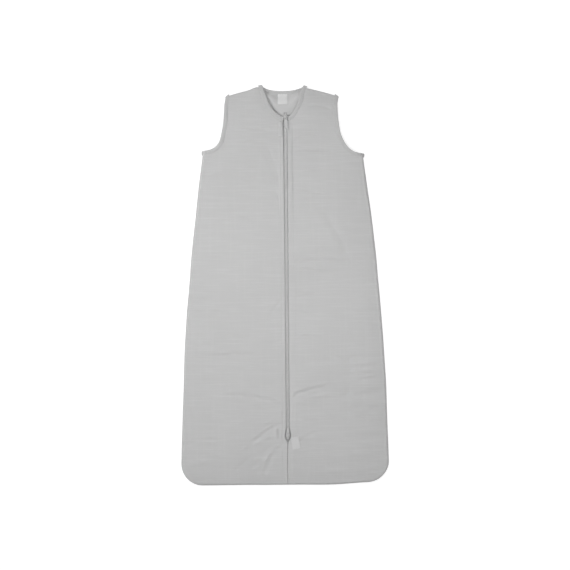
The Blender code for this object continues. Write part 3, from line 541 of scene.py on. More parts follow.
def beside_zip(x, y):
    """The placket's own relief: a puffed band on each side, held down by its row of topstitching."""
    below_binding = 1 - blend(y, FRONT_NECK_Y - 26 * MM, FRONT_NECK_Y - 12 * MM) * (np.abs(x - ZIP_X) < 30 * MM)
    beside = (x - ZIP_X) / MM
    found = 0.30 * bell(beside, 9.5, 4.8) + 0.10 * bell(beside, -7.5, 2.4)
    for middle, seed, sunk in ((TOPSTITCH_LEFT, 21, 0.42), (TOPSTITCH_RIGHT, 22, 0.26)):
        off = (x - middle) / MM
        found -= (sunk + 0.16 * noise(x, y, 0.02, 0.0032, seed)) * bell(off, 0, 1.2)
        found += 0.26 * noise(x, y, 0.012, 0.0062, seed + 5) * bell(off, 0, 7.0)
    lapped = 1 - blend(y, BOTTOM_Y - 36 * MM, BOTTOM_Y - 22 * MM)
    found -= 0.55 * lapped * bell(beside, 4.4, 0.9)
    return found * MM * below_binding


def sewn_distance(x, y):
    return np.minimum(distance_to(HEM_TO_CORNER[::2], np.abs(x), y), distance_to(SHOULDER_LINE, np.abs(x), y))


def bound_distance(x, y):
    """Distance from the nearest bound edge of the front."""
    found = distance_to(ARMHOLE_LINE[::8], np.abs(x), y)
    for sign in (LEFT, RIGHT):
        found = np.minimum(found, distance_to(front_neck_line(sign, NECK_START)[::8], x, y))
    return found


def back_bound_distance(x, y):
    found = distance_to(ARMHOLE_LINE[::8], np.abs(x), y)
    return np.minimum(found, distance_to(BACK_NECK_LINE[::8], np.abs(x), y))


def seam_pucker(x, y, sewn, seed):
    near = bell(sewn, 7 * MM, 6.5 * MM) * noise(x, y, 0.0075, 0.0075, seed) * 0.34
    allowance = bell(sewn, 5.0 * MM, 3.2 * MM) - bell(sewn, 9.6 * MM, 1.5 * MM)
    return (near + 0.26 * allowance) * MM


def loosened(bound):
    """How loose two layers lie this far from a bound edge, from 0 to 1, and half their thickness there."""
    free = blend(bound, 8.2 * MM, 14 * MM)
    return free, PINCHED_HALF + (SANDWICH_HALF - PINCHED_HALF) * free


def front_surface(x, y):
    """Height of the front's outside."""
    bound, sewn = bound_distance(x, y), sewn_distance(x, y)
    return front_middle(x, y) + SANDWICH_HALF + front_relief(x, y, bound, sewn)


def front_relief(x, y, bound, sewn):
    """What the front's layers add to their smooth shape."""
    beside = np.abs(x - ZIP_X)
    free = blend(bound, 7 * MM, 20 * MM) * blend(beside, 4 * MM, 19 * MM)
    free = free * (0.25 + 0.75 * blend(sewn, 3 * MM, 26 * MM))
    over_tape = -0.25 * MM - 5 * MM * blend(beside, 13 * MM, 22 * MM)
    ripple = bell(bound, 12 * MM, 5 * MM) * noise(x, y, 0.0085, 0.0085, 41) * 0.30 * MM
    folds = np.maximum(crinkle(x, y) * free, over_tape)
    return folds + ripple + seam_pucker(x, y, sewn, 42) + beside_zip(x, y)


def rows_at(x, y):
    """Plan points of a grid whose rows lie at these places along the bag."""
    return np.dstack([x, np.broadcast_to(y[:, None], x.shape)])


# Meshes


def placed(name, data):
    """A new object of the scene."""
    made = bpy.data.objects.new(name, data)
    bpy.context.scene.collection.objects.link(made)
    return made


class Cloth:
    """Points and faces gathered for one piece, with a material number for each face."""

    def __init__(self):
        self.points, self.faces, self.looks, self.count = [], [], [], 0

    def add(self, points, faces, look=0):
        points = np.asarray(points, float).reshape(-1, 3)
        faces = [tuple(int(corner) + self.count for corner in face) for face in faces]
        self.points.append(points)
        self.faces += faces
        self.looks += [look] * len(faces)
        self.count += len(points)

    def layer(self, plan, top, under, look=0):
        """A closed sheet over a grid of plan points, between two heights."""
        rows, columns = plan.shape[:2]
        count = rows * columns
        index = np.arange(count).reshape(rows, columns)
        corners = (index[:-1, :-1], index[:-1, 1:], index[1:, 1:], index[1:, :-1])
        quads = np.stack(corners, -1).reshape(-1, 4)
        rim = np.concatenate([index[0], index[1:, -1], index[-1, -2::-1], index[-2:0:-1, 0]])
        after = np.roll(rim, -1)
        sides = np.stack([rim, rim + count, after + count, after], -1)
        points = np.concatenate([np.dstack([plan, top]), np.dstack([plan, under])]).reshape(-1, 3)
        self.add(points, np.concatenate([quads, quads[:, ::-1] + count, sides]).tolist(), look)

    def loft(self, rings, look=0, closed=False):
        """A skin over rings of matching points, capped at both ends unless it closes on itself."""
        rings = np.asarray(rings, float)
        count, size = rings.shape[:2]
        faces = []
        for j in range(count if closed else count - 1):
            here, there = j * size, (j + 1) % count * size
            for i in range(size):
                after = (i + 1) % size
                faces.append((here + i, here + after, there + after, there + i))
        if not closed:
            faces.append(tuple(range(size))[::-1])
            faces.append(tuple(range((count - 1) * size, count * size)))
        self.add(rings, faces, look)

    def pebble(self, outline, low, high, edge, look=0, dome=0.0):
        """A flat plate with this outline and rounded edges."""
        outline = np.asarray(outline, float)
        centre = outline.mean(axis=0)
        along = unit(np.roll(outline, -1, axis=0) - np.roll(outline, 1, axis=0))
        inward = np.stack([-along[:, 1], along[:, 0]], -1)
        inward *= np.sign(((centre - outline) * inward).sum(axis=1).mean())
        steps = []
        for degrees in (0, 30, 60, 90):
            turn = math.radians(degrees)
            steps.append((edge * (1 - math.sin(turn)), low + edge * (1 - math.cos(turn))))
        steps += [(inset, low + high - z) for inset, z in reversed(steps)]
        rings = [np.column_stack([outline + inset * inward, np.full(len(outline), z)]) for inset, z in steps]
        for share, lift in ((0.72, 0.6), (0.40, 0.9), (0.08, 1.0)):
            inner = centre + (outline + edge * inward - centre) * share
            rings.append(np.column_stack([inner, np.full(len(outline), high + dome * lift)]))
        self.loft(rings, look)

    def tube(self, path, radius, look=0, sides=8, closed=False):
        """A round rod along a path."""
        path = np.asarray(path, float)
        if closed:
            along = np.roll(path, -1, axis=0) - np.roll(path, 1, axis=0)
        else:
            along = np.gradient(path, axis=0)
        along = unit(along)
        flat = np.abs(along[:, 2]).mean() < 0.8
        side = unit(np.cross(along, (0, 0, 1) if flat else (0, 1, 0)))
        up = np.cross(side, along)
        radius = np.broadcast_to(radius, len(path))
        rings = []
        for turn in np.linspace(0, 2 * math.pi, sides, endpoint=False):
            rings.append(path + radius[:, None] * (math.cos(turn) * side + math.sin(turn) * up))
        self.loft(np.stack(rings, 1), look, closed)

    def stitches(self, path, look=1, length=2.5 * MM, gap=0.8 * MM, radius=0.20 * MM):
        """A row of machine stitches that dip into the cloth at their ends."""
        path = np.asarray(path, float)
        run = lengths(path)
        count = int(run[-1] // (length + gap))
        share = np.linspace(0, 1, 5)
        marks = (np.arange(count)[:, None] * (length + gap) + gap / 2) + length * share
        middle = at_lengths(path, marks.ravel()).reshape(count, 5, 3)
        along = np.gradient(middle, axis=1)
        side = unit(np.stack([-along[..., 1], along[..., 0], 0 * along[..., 0]], -1))
        swell = np.sin(math.pi * np.linspace(0.12, 0.88, 5))
        middle[..., 2] += radius * (1.5 * swell - 1.0)
        rings = []
        for turn in np.linspace(0, 2 * math.pi, 6, endpoint=False):
            up = np.array((0, 0, math.sin(turn)))
            rings.append(middle + radius * swell[:, None] * (math.cos(turn) * side + up))
        rings = np.stack(rings, 2)
        faces = []
        for s in range(count):
            start = s * 30
            for j in range(4):
                for i in range(6):
                    here, after = start + j * 6 + i, start + j * 6 + (i + 1) % 6
                    faces.append((here, after, after + 6, here + 6))
            faces.append(tuple(start + i for i in reversed(range(6))))
            faces.append(tuple(start + 24 + i for i in range(6)))
        self.add(rings.reshape(-1, 3), faces, look)

    def piece(self, name, body, finish_slot, looks, replaces=(), crisp=False, settle=False, askew=None):
        """Makes the piece. askew is a place in plan, and the degrees that the piece is turned about it."""
        points = np.concatenate(self.points)
        if settle:
            points = settled(points)
        if askew:
            centre, turn = np.array(askew[0]), math.radians(askew[1])
            turned = np.array(((math.cos(turn), math.sin(turn)), (-math.sin(turn), math.cos(turn))))
            points[:, :2] = centre + (points[:, :2] - centre) @ turned
        mesh = bpy.data.meshes.new(name)
        mesh.from_pydata(points.tolist(), [], self.faces)
        for look in looks:
            mesh.materials.append(look)
        mesh.polygons.foreach_set("material_index", np.array(self.looks, np.int32))
        work = bmesh.new()
        work.from_mesh(mesh)
        bmesh.ops.recalc_face_normals(work, faces=work.faces)
        work.to_mesh(mesh)
        work.free()
        mesh.shade_smooth()
        mesh.set_sharp_from_angle(angle=math.radians(40 if crisp else 60))
        made = placed(name, mesh)
        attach(made, body)
        if replaces:
            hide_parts(*replaces)
        return made


# Cloth panels

# Where the rows and columns nearest an edge lie, in millimetres from it.
OUTER_MARKS = (0, 0.15, 0.5, 1.0, 1.7, 2.6, 3.8, 5.2, 7.0, 9.0)
ZIP_MARKS = (
    0, 0.12, 0.4, 0.8, 1.3, 1.9, 2.6, 3.4, 4.3, 5.2, 6.0, 6.7, 7.3, 8.2, 9.2, 10.3, 11.4, 12.3, 13.0, 13.7,
    14.6, 16.0, 18.0,
)
LINING_MARKS = (0, 1.5, 4.0)
FRONT_STEP, BACK_STEP = 2.3 * MM, 4.0 * MM


def zip_edge(sign, y):
    """Half width of the opening beside the zip: it eases round the bottom slider and closes below it."""
    at_slider = bell(y, BOTTOM_Y - 1 * MM, 11 * MM)
    parted = 0.30 + 0.85 * blend(y, 0.080, 0.340) if sign == LEFT else 0.0
    half = (3.75 + parted + 2.8 * at_slider) * MM
    closing = blend(y, BOTTOM_Y - 20.5 * MM, BOTTOM_Y - 7 * MM)
    return 0.12 * MM + (half - 0.12 * MM) * closing


def seam_lean(y):
    """The closed seam below the zip runs a little to the left of it."""
    return -1.2 * MM * (1 - blend(y, BOTTOM_Y - 45 * MM, BOTTOM_Y - 12 * MM))


def outer_edge(sewn_inset, step, marks):
    """A half's outline in rows from the hem up to the armhole, and its armhole's edge."""
    side, armhole = inset(SEWN_LINE, sewn_inset), inset(ARMHOLE_LINE, BOUND_INSET)
    foot, length = side[0, 1], armhole[0, 1] - side[0, 1]
    rows = spread(length, int(length / step), marks)[:-1] + foot
    return np.column_stack([np.interp(rows, side[:, 1], side[:, 0]), rows]), armhole


def front_plan(sign, sewn_inset, step, marks=OUTER_MARKS, zip_marks=ZIP_MARKS, extra=0.0):
    """Plan points of a front half: rows from its outer edge to the zip or the neckline."""
    outer, armhole = outer_edge(sewn_inset, step, marks)
    body = outer[:, 1]
    inner = np.column_stack([ZIP_X + sign * (zip_edge(sign, body) + extra) + seam_lean(body), body])
    neck = inset(front_neck_line(sign, NECK_START), -sign * BOUND_INSET)
    rising = np.linspace(armhole[0, 1], neck[0, 1] - 0.3 * MM, 40)
    front_edge = np.column_stack([ZIP_X + sign * (zip_edge(sign, rising) + extra), rising])
    front_edge = np.vstack([front_edge, neck])
    count = int(lengths(armhole)[-1] / (0.92 * step))
    outer_strap = at_lengths(armhole, spread(lengths(armhole)[-1] - sewn_inset, count, (), marks))
    inner_strap = at_lengths(front_edge, spread(lengths(front_edge)[-1] - sewn_inset, count, (), marks))
    outer = mirrored(np.vstack([outer, outer_strap]), sign)
    inner = np.vstack([inner, inner_strap])
    columns = int(HEM_HALF_WIDTH / (1.15 * step)) + len(zip_marks) // 2
    rows = []
    for start, end in zip(outer, inner):
        length = np.linalg.norm(end - start)
        marks_here = spread(length, columns, marks, zip_marks)
        rows.append(start + (end - start) * (marks_here / length)[:, None])
    return np.array(rows)


def back_plan(sewn_inset, step, marks=OUTER_MARKS):
    """Plan points of the back: rows from side to side, the last one along shoulders and neckline."""
    outer, armhole = outer_edge(sewn_inset, step, marks)
    neck = inset(BACK_NECK_LINE, BOUND_INSET)
    trimmed = lengths(armhole)[-1] - sewn_inset
    strap = at_lengths(armhole, spread(trimmed, int(trimmed / (0.92 * step)), (), marks))
    columns = int(2 * HEM_HALF_WIDTH / step)
    shoulder = np.vstack([strap[-1:], neck])
    rows = []
    for index, (x, y) in enumerate(np.vstack([outer, strap])):
        marks_here = spread(2 * x, columns, marks, marks) - x
        share = max(0, index - len(outer)) / (len(strap) - 1)
        top = np.interp(np.abs(marks_here) / x * shoulder[0, 0], shoulder[::-1, 0], shoulder[::-1, 1])
        rows.append(np.column_stack([marks_here, y + (top - shoulder[0, 1]) * share * share]))
    return np.array(rows)


def rolled(sewn, cover):
    """How far a sheet has come down to its seam: 1 on the seam, 0 away from it."""
    share = np.clip(sewn / SEAM_ROLL, 0, 1)
    return (1 - np.sqrt(1 - (1 - share) ** 2)) * cover


def front_sheet(cloth, sign, plan, outer):
    """Adds the outer fabric or the lining of a front half."""
    x, y = plan[..., 0], plan[..., 1]
    sewn, bound = sewn_distance(x, y), bound_distance(x, y)
    free, half = loosened(bound)
    middle = front_middle(x, y) + front_relief(x, y, bound, sewn)
    down = rolled(sewn, blend(bound, 9 * MM, 15 * MM))
    seam = seam_height(x, y)
    if not outer:
        tape = (1 - blend(np.abs(x - ZIP_X), 20 * MM, 30 * MM)) * blend(y, -0.380, -0.362)
        top = middle - half + 0.75 * MM - 0.70 * MM * tape * free
        cloth.layer(plan, top, top - LINING)
        return
    top, under = middle + half, middle + half - FABRIC
    edge = np.abs(x - ZIP_X - seam_lean(y)) - zip_edge(sign, y)
    fold = np.clip(edge / (1.3 * MM), 0, 1)
    below = blend(y, BOTTOM_Y - 8 * MM, BOTTOM_Y - 24 * MM)
    top = top + 0.12 * MM * bell(edge, 1.5 * MM, 1.1 * MM)
    top = under - 0.9 * MM * below + (top - under + 0.9 * MM * below) * np.sqrt(1 - (1 - fold) ** 2)
    top = top + 0.03 * MM
    under = np.minimum(under, top - 0.02 * MM)
    top = top + (seam + 0.06 * MM - top) * down
    under = under + (seam - 0.02 * MM - under) * down
    cloth.layer(plan, top, np.minimum(under, top - 0.02 * MM))


def topstitch(cloth, offset):
    """A row of stitches beside the zip, from below the neck binding to the hem."""
    y = np.linspace(FRONT_NECK_Y - 11 * MM, HEM_Y + 10 * MM, 700)
    x = np.full_like(y, offset)
    cloth.stitches(np.column_stack([x, y, front_surface(x, y) + 0.05 * MM]))


def make_fronts(muslin, lining, thread):
    for sign, offset in ((LEFT, TOPSTITCH_LEFT), (RIGHT, TOPSTITCH_RIGHT)):
        side = SIDE_NAMES[sign]
        cloth = Cloth()
        front_sheet(cloth, sign, front_plan(sign, 0.0, FRONT_STEP), True)
        topstitch(cloth, offset)
        node = f"front_panel_{side}"
        panel = cloth.piece(f"muslin_front_{side}", "bag", "muslin", [muslin, thread], [node], settle=True)
        cloth = Cloth()
        beside_zip_marks = (0, 1.0, 3.0, 6.0)
        plan = front_plan(sign, LINING_INSET, 2.2 * FRONT_STEP, LINING_MARKS, beside_zip_marks, 2.3 * MM)
        front_sheet(cloth, sign, plan, False)
        node = f"front_lining_{side}"
        panel = cloth.piece(f"lining_front_{side}", "bag", "lining", [lining], [node], settle=True)


def back_lining_top(x, y):
    """Height of the back lining's inside, which swells up into the neck opening."""
    sewn, bound = sewn_distance(x, y), back_bound_distance(x, y)
    free, half = loosened(bound)
    lift = noise(x, y, 0.05, 0.012, 51) * 0.25 + noise(x, y, 0.09, 0.07, 52) * 0.6 + 0.35
    reach = 15 * MM + 15 * MM * np.exp(-(((x - 0.002) / 0.024) ** 4))
    swell = 10.0 * blend(bound, 8.5 * MM, reach) * np.exp(-(((x - 0.004) / 0.060) ** 4))
    swell = swell * blend(y, 0.310, 0.368)
    return back_middle(x, y) + half + (lift * free * blend(sewn, 9 * MM, 30 * MM) + swell) * MM


def back_sheet(cloth, plan, outer):
    x, y = plan[..., 0], plan[..., 1]
    sewn, bound = sewn_distance(x, y), back_bound_distance(x, y)
    free, half = loosened(bound)
    middle = back_middle(x, y)
    if not outer:
        top = back_lining_top(x, y)
        cloth.layer(plan, top, top - LINING)
        return
    wave = noise(x, y, 0.030, 0.0055, 53) * 0.14 + noise(x, y, 0.07, 0.05, 54) * 0.16
    under = middle - half + np.maximum(wave, 0) * MM * free
    down = rolled(sewn, blend(bound, 9 * MM, 15 * MM))
    seam = seam_height(x, y)
    top = under + FABRIC
    cloth.layer(plan, top + (seam - 0.02 * MM - top) * down, under + (seam - 0.08 * MM - under) * down)


def make_back(muslin, lining):
    cloth = Cloth()
    back_sheet(cloth, back_plan(0.0, BACK_STEP), True)
    panel = cloth.piece("muslin_back", "bag", "muslin", [muslin], ["back_panel"], settle=True)
    cloth = Cloth()
    back_sheet(cloth, back_plan(LINING_INSET, 4.5 * MM, LINING_MARKS), False)
    panel = cloth.piece("lining_back", "bag", "lining", [lining], ["back_lining"], settle=True)


# Seams and bindings


def seam_allowance(cloth, outer, inner):
    """The turned-in seam: two allowances pressed together, overlocked along their raw edge."""
    under = ((0.0, -0.15), (0.25, -0.95), (0.90, -1.05), (1.0, -0.5))
    section = (*under, *((share, -z) for share, z in reversed(under)))
    rings = []
    for (ox, oy), (ix, iy) in zip(outer, inner):
        base = float(seam_height(np.array(ox), np.array(oy)))
        rings.append([(ox + (ix - ox) * s, oy + (iy - oy) * s, base + z * MM) for s, z in section])
    cloth.loft(rings)
    run = lengths(inner)
    marks = np.arange(0, run[-1], 1.3 * MM)
    edge = at_lengths(inner, marks)
    into = unit(at_lengths(outer, np.interp(marks, run, lengths(outer))) - edge)
    phase = np.arange(len(marks)) % 4
    reach = np.array((0.2, 2.6, 0.2, 2.6))[phase] * MM
    height = np.array((-1.1, -1.25, 1.1, 1.25))[phase] * MM
    base = seam_height(edge[:, 0], edge[:, 1])
    path = np.column_stack([edge + into * reach[:, None], base + height])
    cloth.tube(path, 0.17 * MM, 1, sides=4)


def make_seams(muslin, thread):
    room = BINDING_WIDTH + 0.6 * MM
    side = SIDE_LINE[SIDE_LINE[:, 1] < ARMPIT[1] - room]
    side_edges = [inset(side, width) for width in SEAM_EDGES]
    shoulder_run = lengths(SHOULDER_LINE)[-1]
    shoulder = at_lengths(SHOULDER_LINE, np.linspace(room, shoulder_run - room, 30))
    shoulder_edges = [inset(shoulder, width) for width in SEAM_EDGES]
    for sign in (LEFT, RIGHT):
        for seam, edges in (("side", side_edges), ("shoulder", shoulder_edges)):
            cloth = Cloth()
            seam_allowance(cloth, *(mirrored(edge, sign) for edge in edges))
            name = f"{seam}_seam_{SIDE_NAMES[sign]}"
            cloth.piece(f"overlocked_{name}", "bag", "overlock_thread", [muslin, thread], [name], settle=True)
    edges = []
    for width in SEAM_EDGES:
        corner = CORNER_CENTRE + (HEM_CORNER - width) / HEM_CORNER * (CORNER_LINE - CORNER_CENTRE)
        straight = np.linspace(-corner[0, 0], corner[0, 0], 120)[1:-1]
        straight = np.column_stack([straight, np.full(len(straight), HEM_Y + width)])
        edges.append(np.vstack([mirrored(corner[::-1], LEFT), straight, corner]))
    cloth = Cloth()
    seam_allowance(cloth, *edges)
    cloth.piece("overlocked_hem_seam", "bag", "overlock_thread", [muslin, thread], ["hem_seam"], settle=True)


BINDING_TOP = ((9.0, 1.16), (8.85, 1.52), (8.3, 1.80), (7.6, 1.66), (6.9, 1.88), (5.6, 2.02), (3.6, 2.05))
BINDING_TOP += ((2.0, 1.98), (0.9, 1.66), (0.25, 1.00))
BINDING_SLOT = ((0.80, 0.0), (1.1, 1.10), (4.5, 1.22), (8.8, 1.06))
BINDING_STITCH = (7.6, 1.74)


def binding_section():
    """The folded strip's section, as (in from the fold, out from the middle), all the way round."""
    outer = list(BINDING_TOP) + [(0.0, 0.0)] + [(a, -b) for a, b in reversed(BINDING_TOP)]
    slot = [(a, -b) for a, b in reversed(BINDING_SLOT[1:])] + list(BINDING_SLOT)
    return np.array(outer + slot) * MM


def flat_frames(edge, inward, middle, outward):
    """Frames along an edge that lies flat: place, direction in from the fold, direction out."""
    base = np.column_stack([edge, middle(edge[:, 0], edge[:, 1])])
    into = np.column_stack([inward, np.zeros(len(edge))])
    out = np.tile((0.0, 0.0, float(outward)), (len(edge), 1))
    return base, into, out


def fold_frames(point, inward, away, going_down):
    """Frames where the strip turns over a seam, from the front to the back or up again."""
    back = float(back_middle(np.array(point[0]), np.array(point[1])))
    centre, radius = (FRONT_EDGE + back) / 2, (FRONT_EDGE - back) / 2
    turn = np.radians(np.linspace(12, 168, 14))
    turn = turn if going_down else turn[::-1]
    out = np.column_stack([np.sin(turn)[:, None] * np.array(away), np.cos(turn)])
    base = np.array((*point, centre)) + radius * out
    into = np.tile((*inward, 0.0), (len(turn), 1))
    return base, into, out


def eased(inward, to_end, target):
    """Directions that turn to the target's within a binding's width of an end."""
    share = blend(to_end, 0.0, BINDING_WIDTH)[:, None]
    return inward * share + target * (1 - share)


def bind(cloth, frames, closed):
    base, into, out = (np.vstack(parts) for parts in zip(*frames))
    run = lengths(base) / MM
    x, y = base[:, 0], base[:, 1]
    swell = 1 + 0.07 * np.sin(run * 2 * math.pi / 6.3 + 1.5 * noise(x, y, 0.03, 0.03, 61))
    swell += 0.05 * noise(x, y, 0.006, 0.006, 62)
    wander = 0.25 * MM * noise(x, y, 0.02, 0.02, 63)
    section = binding_section()
    far = section[:, 0] / BINDING_WIDTH
    lift = section[:, 1] * np.where(np.abs(section[:, 1]) > 1.3 * MM, 1.0, 0.0)
    along = section[:, 0] + wander[:, None] * far
    height = section[:, 1] + lift * (swell[:, None] - 1)
    rings = base[:, None] + along[..., None] * into[:, None] + height[..., None] * out[:, None]
    cloth.loft(rings, 0, closed)


def bound_stitches(cloth, frames, sides):
    base, into, out = frames
    along, height = BINDING_STITCH
    for side in sides:
        cloth.stitches(base + along * MM * into + side * height * MM * out, 1, 2.3 * MM, 0.7 * MM, 0.19 * MM)


def make_armhole_binding(sign, binding, thread):
    edge = at_lengths(ARMHOLE_LINE, np.linspace(0, lengths(ARMHOLE_LINE)[-1], 110))
    run = lengths(edge)
    along_shoulder = unit(np.array(NECK_POINT) - np.array(SHOULDER_TIP))
    inward = eased(left_normals(edge), run, np.array((0.0, -1.0)))
    inward = unit(eased(inward, run[-1] - run, along_shoulder))
    edge, inward = mirrored(edge, sign), mirrored(inward, sign)
    tip_in = mirrored(along_shoulder, sign)
    tip_away = mirrored(np.array((-along_shoulder[1], along_shoulder[0])), sign)
    tip_away = tip_away if tip_away[1] > 0 else -tip_away
    front = flat_frames(edge, inward, front_middle, 1)
    back = flat_frames(edge[::-1], inward[::-1], back_middle, -1)
    frames = [front, fold_frames(edge[-1], tip_in, tip_away, True), back]
    frames.append(fold_frames(edge[0], (0.0, -1.0), (float(sign), 0.0), False))
    cloth = Cloth()
    bind(cloth, frames, True)
    bound_stitches(cloth, front, (1,))
    bound_stitches(cloth, back, (-1, 1))
    name = f"armhole_binding_{SIDE_NAMES[sign]}"
    cloth.piece(f"bias_{name}", "bag", "binding", [binding, thread], [name], settle=True)


def make_neck_binding(binding, thread):
    outward = unit(np.array(SHOULDER_TIP) - np.array(NECK_POINT))
    over = np.array((-outward[1], outward[0]))
    fronts = {}
    for sign in (LEFT, RIGHT):
        line = front_neck_line(sign, NECK_START)
        edge = at_lengths(line, np.linspace(0, lengths(line)[-1], 64))
        run = lengths(edge)
        inward = eased(-sign * left_normals(edge), run[-1] - run, mirrored(outward, sign))
        fronts[sign] = (edge, unit(inward))
    half = at_lengths(BACK_NECK_LINE, np.linspace(0, lengths(BACK_NECK_LINE)[-1], 36))
    inward = unit(eased(left_normals(half), lengths(half), outward))
    back_edge = np.vstack([mirrored(half, LEFT), half[-2::-1]])
    back_inward = np.vstack([mirrored(inward, LEFT), inward[-2::-1]])
    left, right = fronts[LEFT], fronts[RIGHT]
    left_front = flat_frames(*left, front_middle, 1)
    right_front = flat_frames(right[0][::-1], right[1][::-1], front_middle, 1)
    back = flat_frames(back_edge, back_inward, back_middle, -1)
    left_fold = fold_frames(left[0][-1], mirrored(outward, LEFT), mirrored(over, LEFT), True)
    right_fold = fold_frames(right[0][-1], outward, over, False)
    cloth = Cloth()
    bind(cloth, [left_front, left_fold, back, right_fold, right_front], False)
    for flat in (left_front, right_front):
        bound_stitches(cloth, flat, (1,))
    bound_stitches(cloth, back, (-1, 1))
    cloth.piece("bias_neck_binding", "bag", "binding", [binding, thread], ["neck_binding"], settle=True)


# Zip

COIL_PITCH = 1.26 * MM


def make_coils(nylon, thread):
    """Each row is one nylon wire wound flat, with its heads between those of the other row."""
    low, high = COIL_LOW.z, COIL_HIGH.z
    wire = 0.31 * MM
    turns = int((COIL_HIGH.y - COIL_LOW.y - wire * 2) / COIL_PITCH)
    loop = np.array((
        (2.70, 0.00, 0), (1.20, 0.02, 0), (0.20, 0.04, 0), (-0.22, 0.10, 0.5), (0.20, 0.16, 1),
        (1.20, 0.18, 1), (2.45, 0.22, 1), (2.67, 0.60, 0.5),
    ))
    for sign, start in ((LEFT, 0.0), (RIGHT, 0.5)):
        turn = np.arange(turns)[:, None]
        x = ZIP_X + sign * loop[:, 0] * MM + 0 * turn
        y = COIL_LOW.y + wire + (turn + start + loop[:, 1]) * COIL_PITCH
        z = low + wire + loop[:, 2] * (high - low - 2 * wire) + 0 * turn
        cloth = Cloth()
        cloth.tube(np.stack([x, y, z], -1).reshape(-1, 3), wire, 0, sides=6)
        edge = np.linspace(COIL_LOW.y, COIL_HIGH.y, 300)
        seam = np.column_stack([np.full(300, ZIP_X + sign * 1.9 * MM), edge, np.full(300, high - 0.02 * MM)])
        cloth.stitches(seam, 1, 1.2 * MM, 0.3 * MM, 0.13 * MM)
        name = f"zip_coil_{SIDE_NAMES[sign]}"
        cloth.piece(f"wound_{name}", "bag", "nylon_coil", [nylon, thread], [name])


def make_tapes(tape):
    """Woven tapes with a rounded selvedge, narrowing where they turn under the neck binding."""
    low, high = TAPE_LOW.z, TAPE_HIGH.z
    y = np.linspace(TAPE_LOW.y, TAPE_HIGH.y, 360)
    narrow = blend(y, 0.3450, 0.3570)
    for sign in (LEFT, RIGHT):
        outer = 13.0 * MM - 9.6 * MM * narrow
        share = np.array((0.0, 0.04, 0.10, 0.25, 0.45, 0.65, 0.85, 0.94, 0.98, 1.0))
        x = ZIP_X + sign * (0.6 * MM + (outer[:, None] - 0.6 * MM) * share)
        plan = rows_at(x, y)
        edge = np.array((0.55, 0.9, 1.0, 0.92, 0.92, 0.92, 0.92, 1.0, 0.9, 0.5))
        half = (high - low) / 2 * edge + 0 * x
        wave = 0.04 * MM * noise(plan[..., 0], plan[..., 1], 0.006, 0.010, 71)
        middle = (low + high) / 2 + wave
        cloth = Cloth()
        cloth.layer(plan, middle + half, middle - half)
        name = f"zip_tape_{SIDE_NAMES[sign]}"
        piece = cloth.piece(f"woven_{name}", "bag", "zip_tape", [tape], [name])


def make_guard(lining, thread):
    """A padded strip behind the zip, with a turned and stitched edge."""
    low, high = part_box("zip_guard")
    y = np.linspace(low.y, high.y, 220)
    half_width = (high.x - low.x) / 2
    middle_x = (low.x + high.x) / 2
    end = np.minimum(y - low.y, high.y - y)
    corner = 6.0 * MM
    width = half_width - corner + np.sqrt(np.maximum(corner ** 2 - np.maximum(corner - end, 0) ** 2, 1e-10))
    share = np.array((-1, -0.985, -0.95, -0.88, -0.82, -0.6, -0.3, 0, 0.3, 0.6, 0.82, 0.88, 0.95, 0.985, 1))
    x = middle_x + width[:, None] * share
    plan = rows_at(x, y)
    edge = np.array((0.2, 0.8, 1.0, 0.62, 0.9, 1.0, 1.0, 1.0, 1.0, 1.0, 0.9, 0.62, 1.0, 0.8, 0.2))
    half = (high.z - low.z) / 2 * edge + 0 * x
    middle = (low.z + high.z) / 2
    cloth = Cloth()
    cloth.layer(plan, middle + half, middle - half)
    for sign in (LEFT, RIGHT):
        line = np.column_stack([middle_x + sign * 0.88 * width, y, np.full(len(y), low.z + 0.25 * MM)])
        cloth.stitches(line[12:-12], 1, 2.4 * MM, 0.8 * MM, 0.16 * MM)
    piece = cloth.piece("stitched_zip_guard", "bag", "lining", [lining, thread], ["zip_guard"])


def rounded_box(x_low, x_high, y_low, y_high, radius, steps=5):
    """Outline of a rectangle with round corners."""
    outline = []
    for x, y, start in (
        (x_high - radius, y_high - radius, 0),
        (x_low + radius, y_high - radius, 90),
        (x_low + radius, y_low + radius, 180),
        (x_high - radius, y_low + radius, 270),
    ):
        turn = np.radians(np.linspace(start, start + 90, steps + 1))
        outline.append(np.column_stack([x + radius * np.cos(turn), y + radius * np.sin(turn)]))
    return np.vstack(outline)


def make_stops(paint):
    """Pressed clips that close round the ends of the chain."""
    wall = 0.3 * MM
    for name, corner, edge, dome in (
        ("zip_top_stop_left", 0.5, 0.35, 0.08),
        ("zip_top_stop_right", 0.5, 0.35, 0.08),
        ("zip_bottom_stop", 0.6, 0.40, 0.10),
    ):
        low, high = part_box(name)
        cloth = Cloth()
        outline = rounded_box(low.x, high.x, low.y, high.y, corner * MM)
        cloth.pebble(outline, TAPE_HIGH.z + 0.2 * MM, high.z, edge * MM, dome=dome * MM)
        cloth.pebble(outline, low.z, TAPE_LOW.z - 0.2 * MM, 0.2 * MM)
        span = (low.x, low.x + wall) if name.endswith("right") else (high.x - wall, high.x)
        span = (ZIP_X - wall, ZIP_X + wall) if name == "zip_bottom_stop" else span
        web = rounded_box(*span, low.y + wall, high.y - wall, 0.1 * MM, 2)
        cloth.pebble(web, low.z + wall, high.z - wall, 0.05 * MM)
        cloth.piece(f"pressed_{name}", "bag", "painted_zinc", [paint], [name], crisp=True)


# Sliders


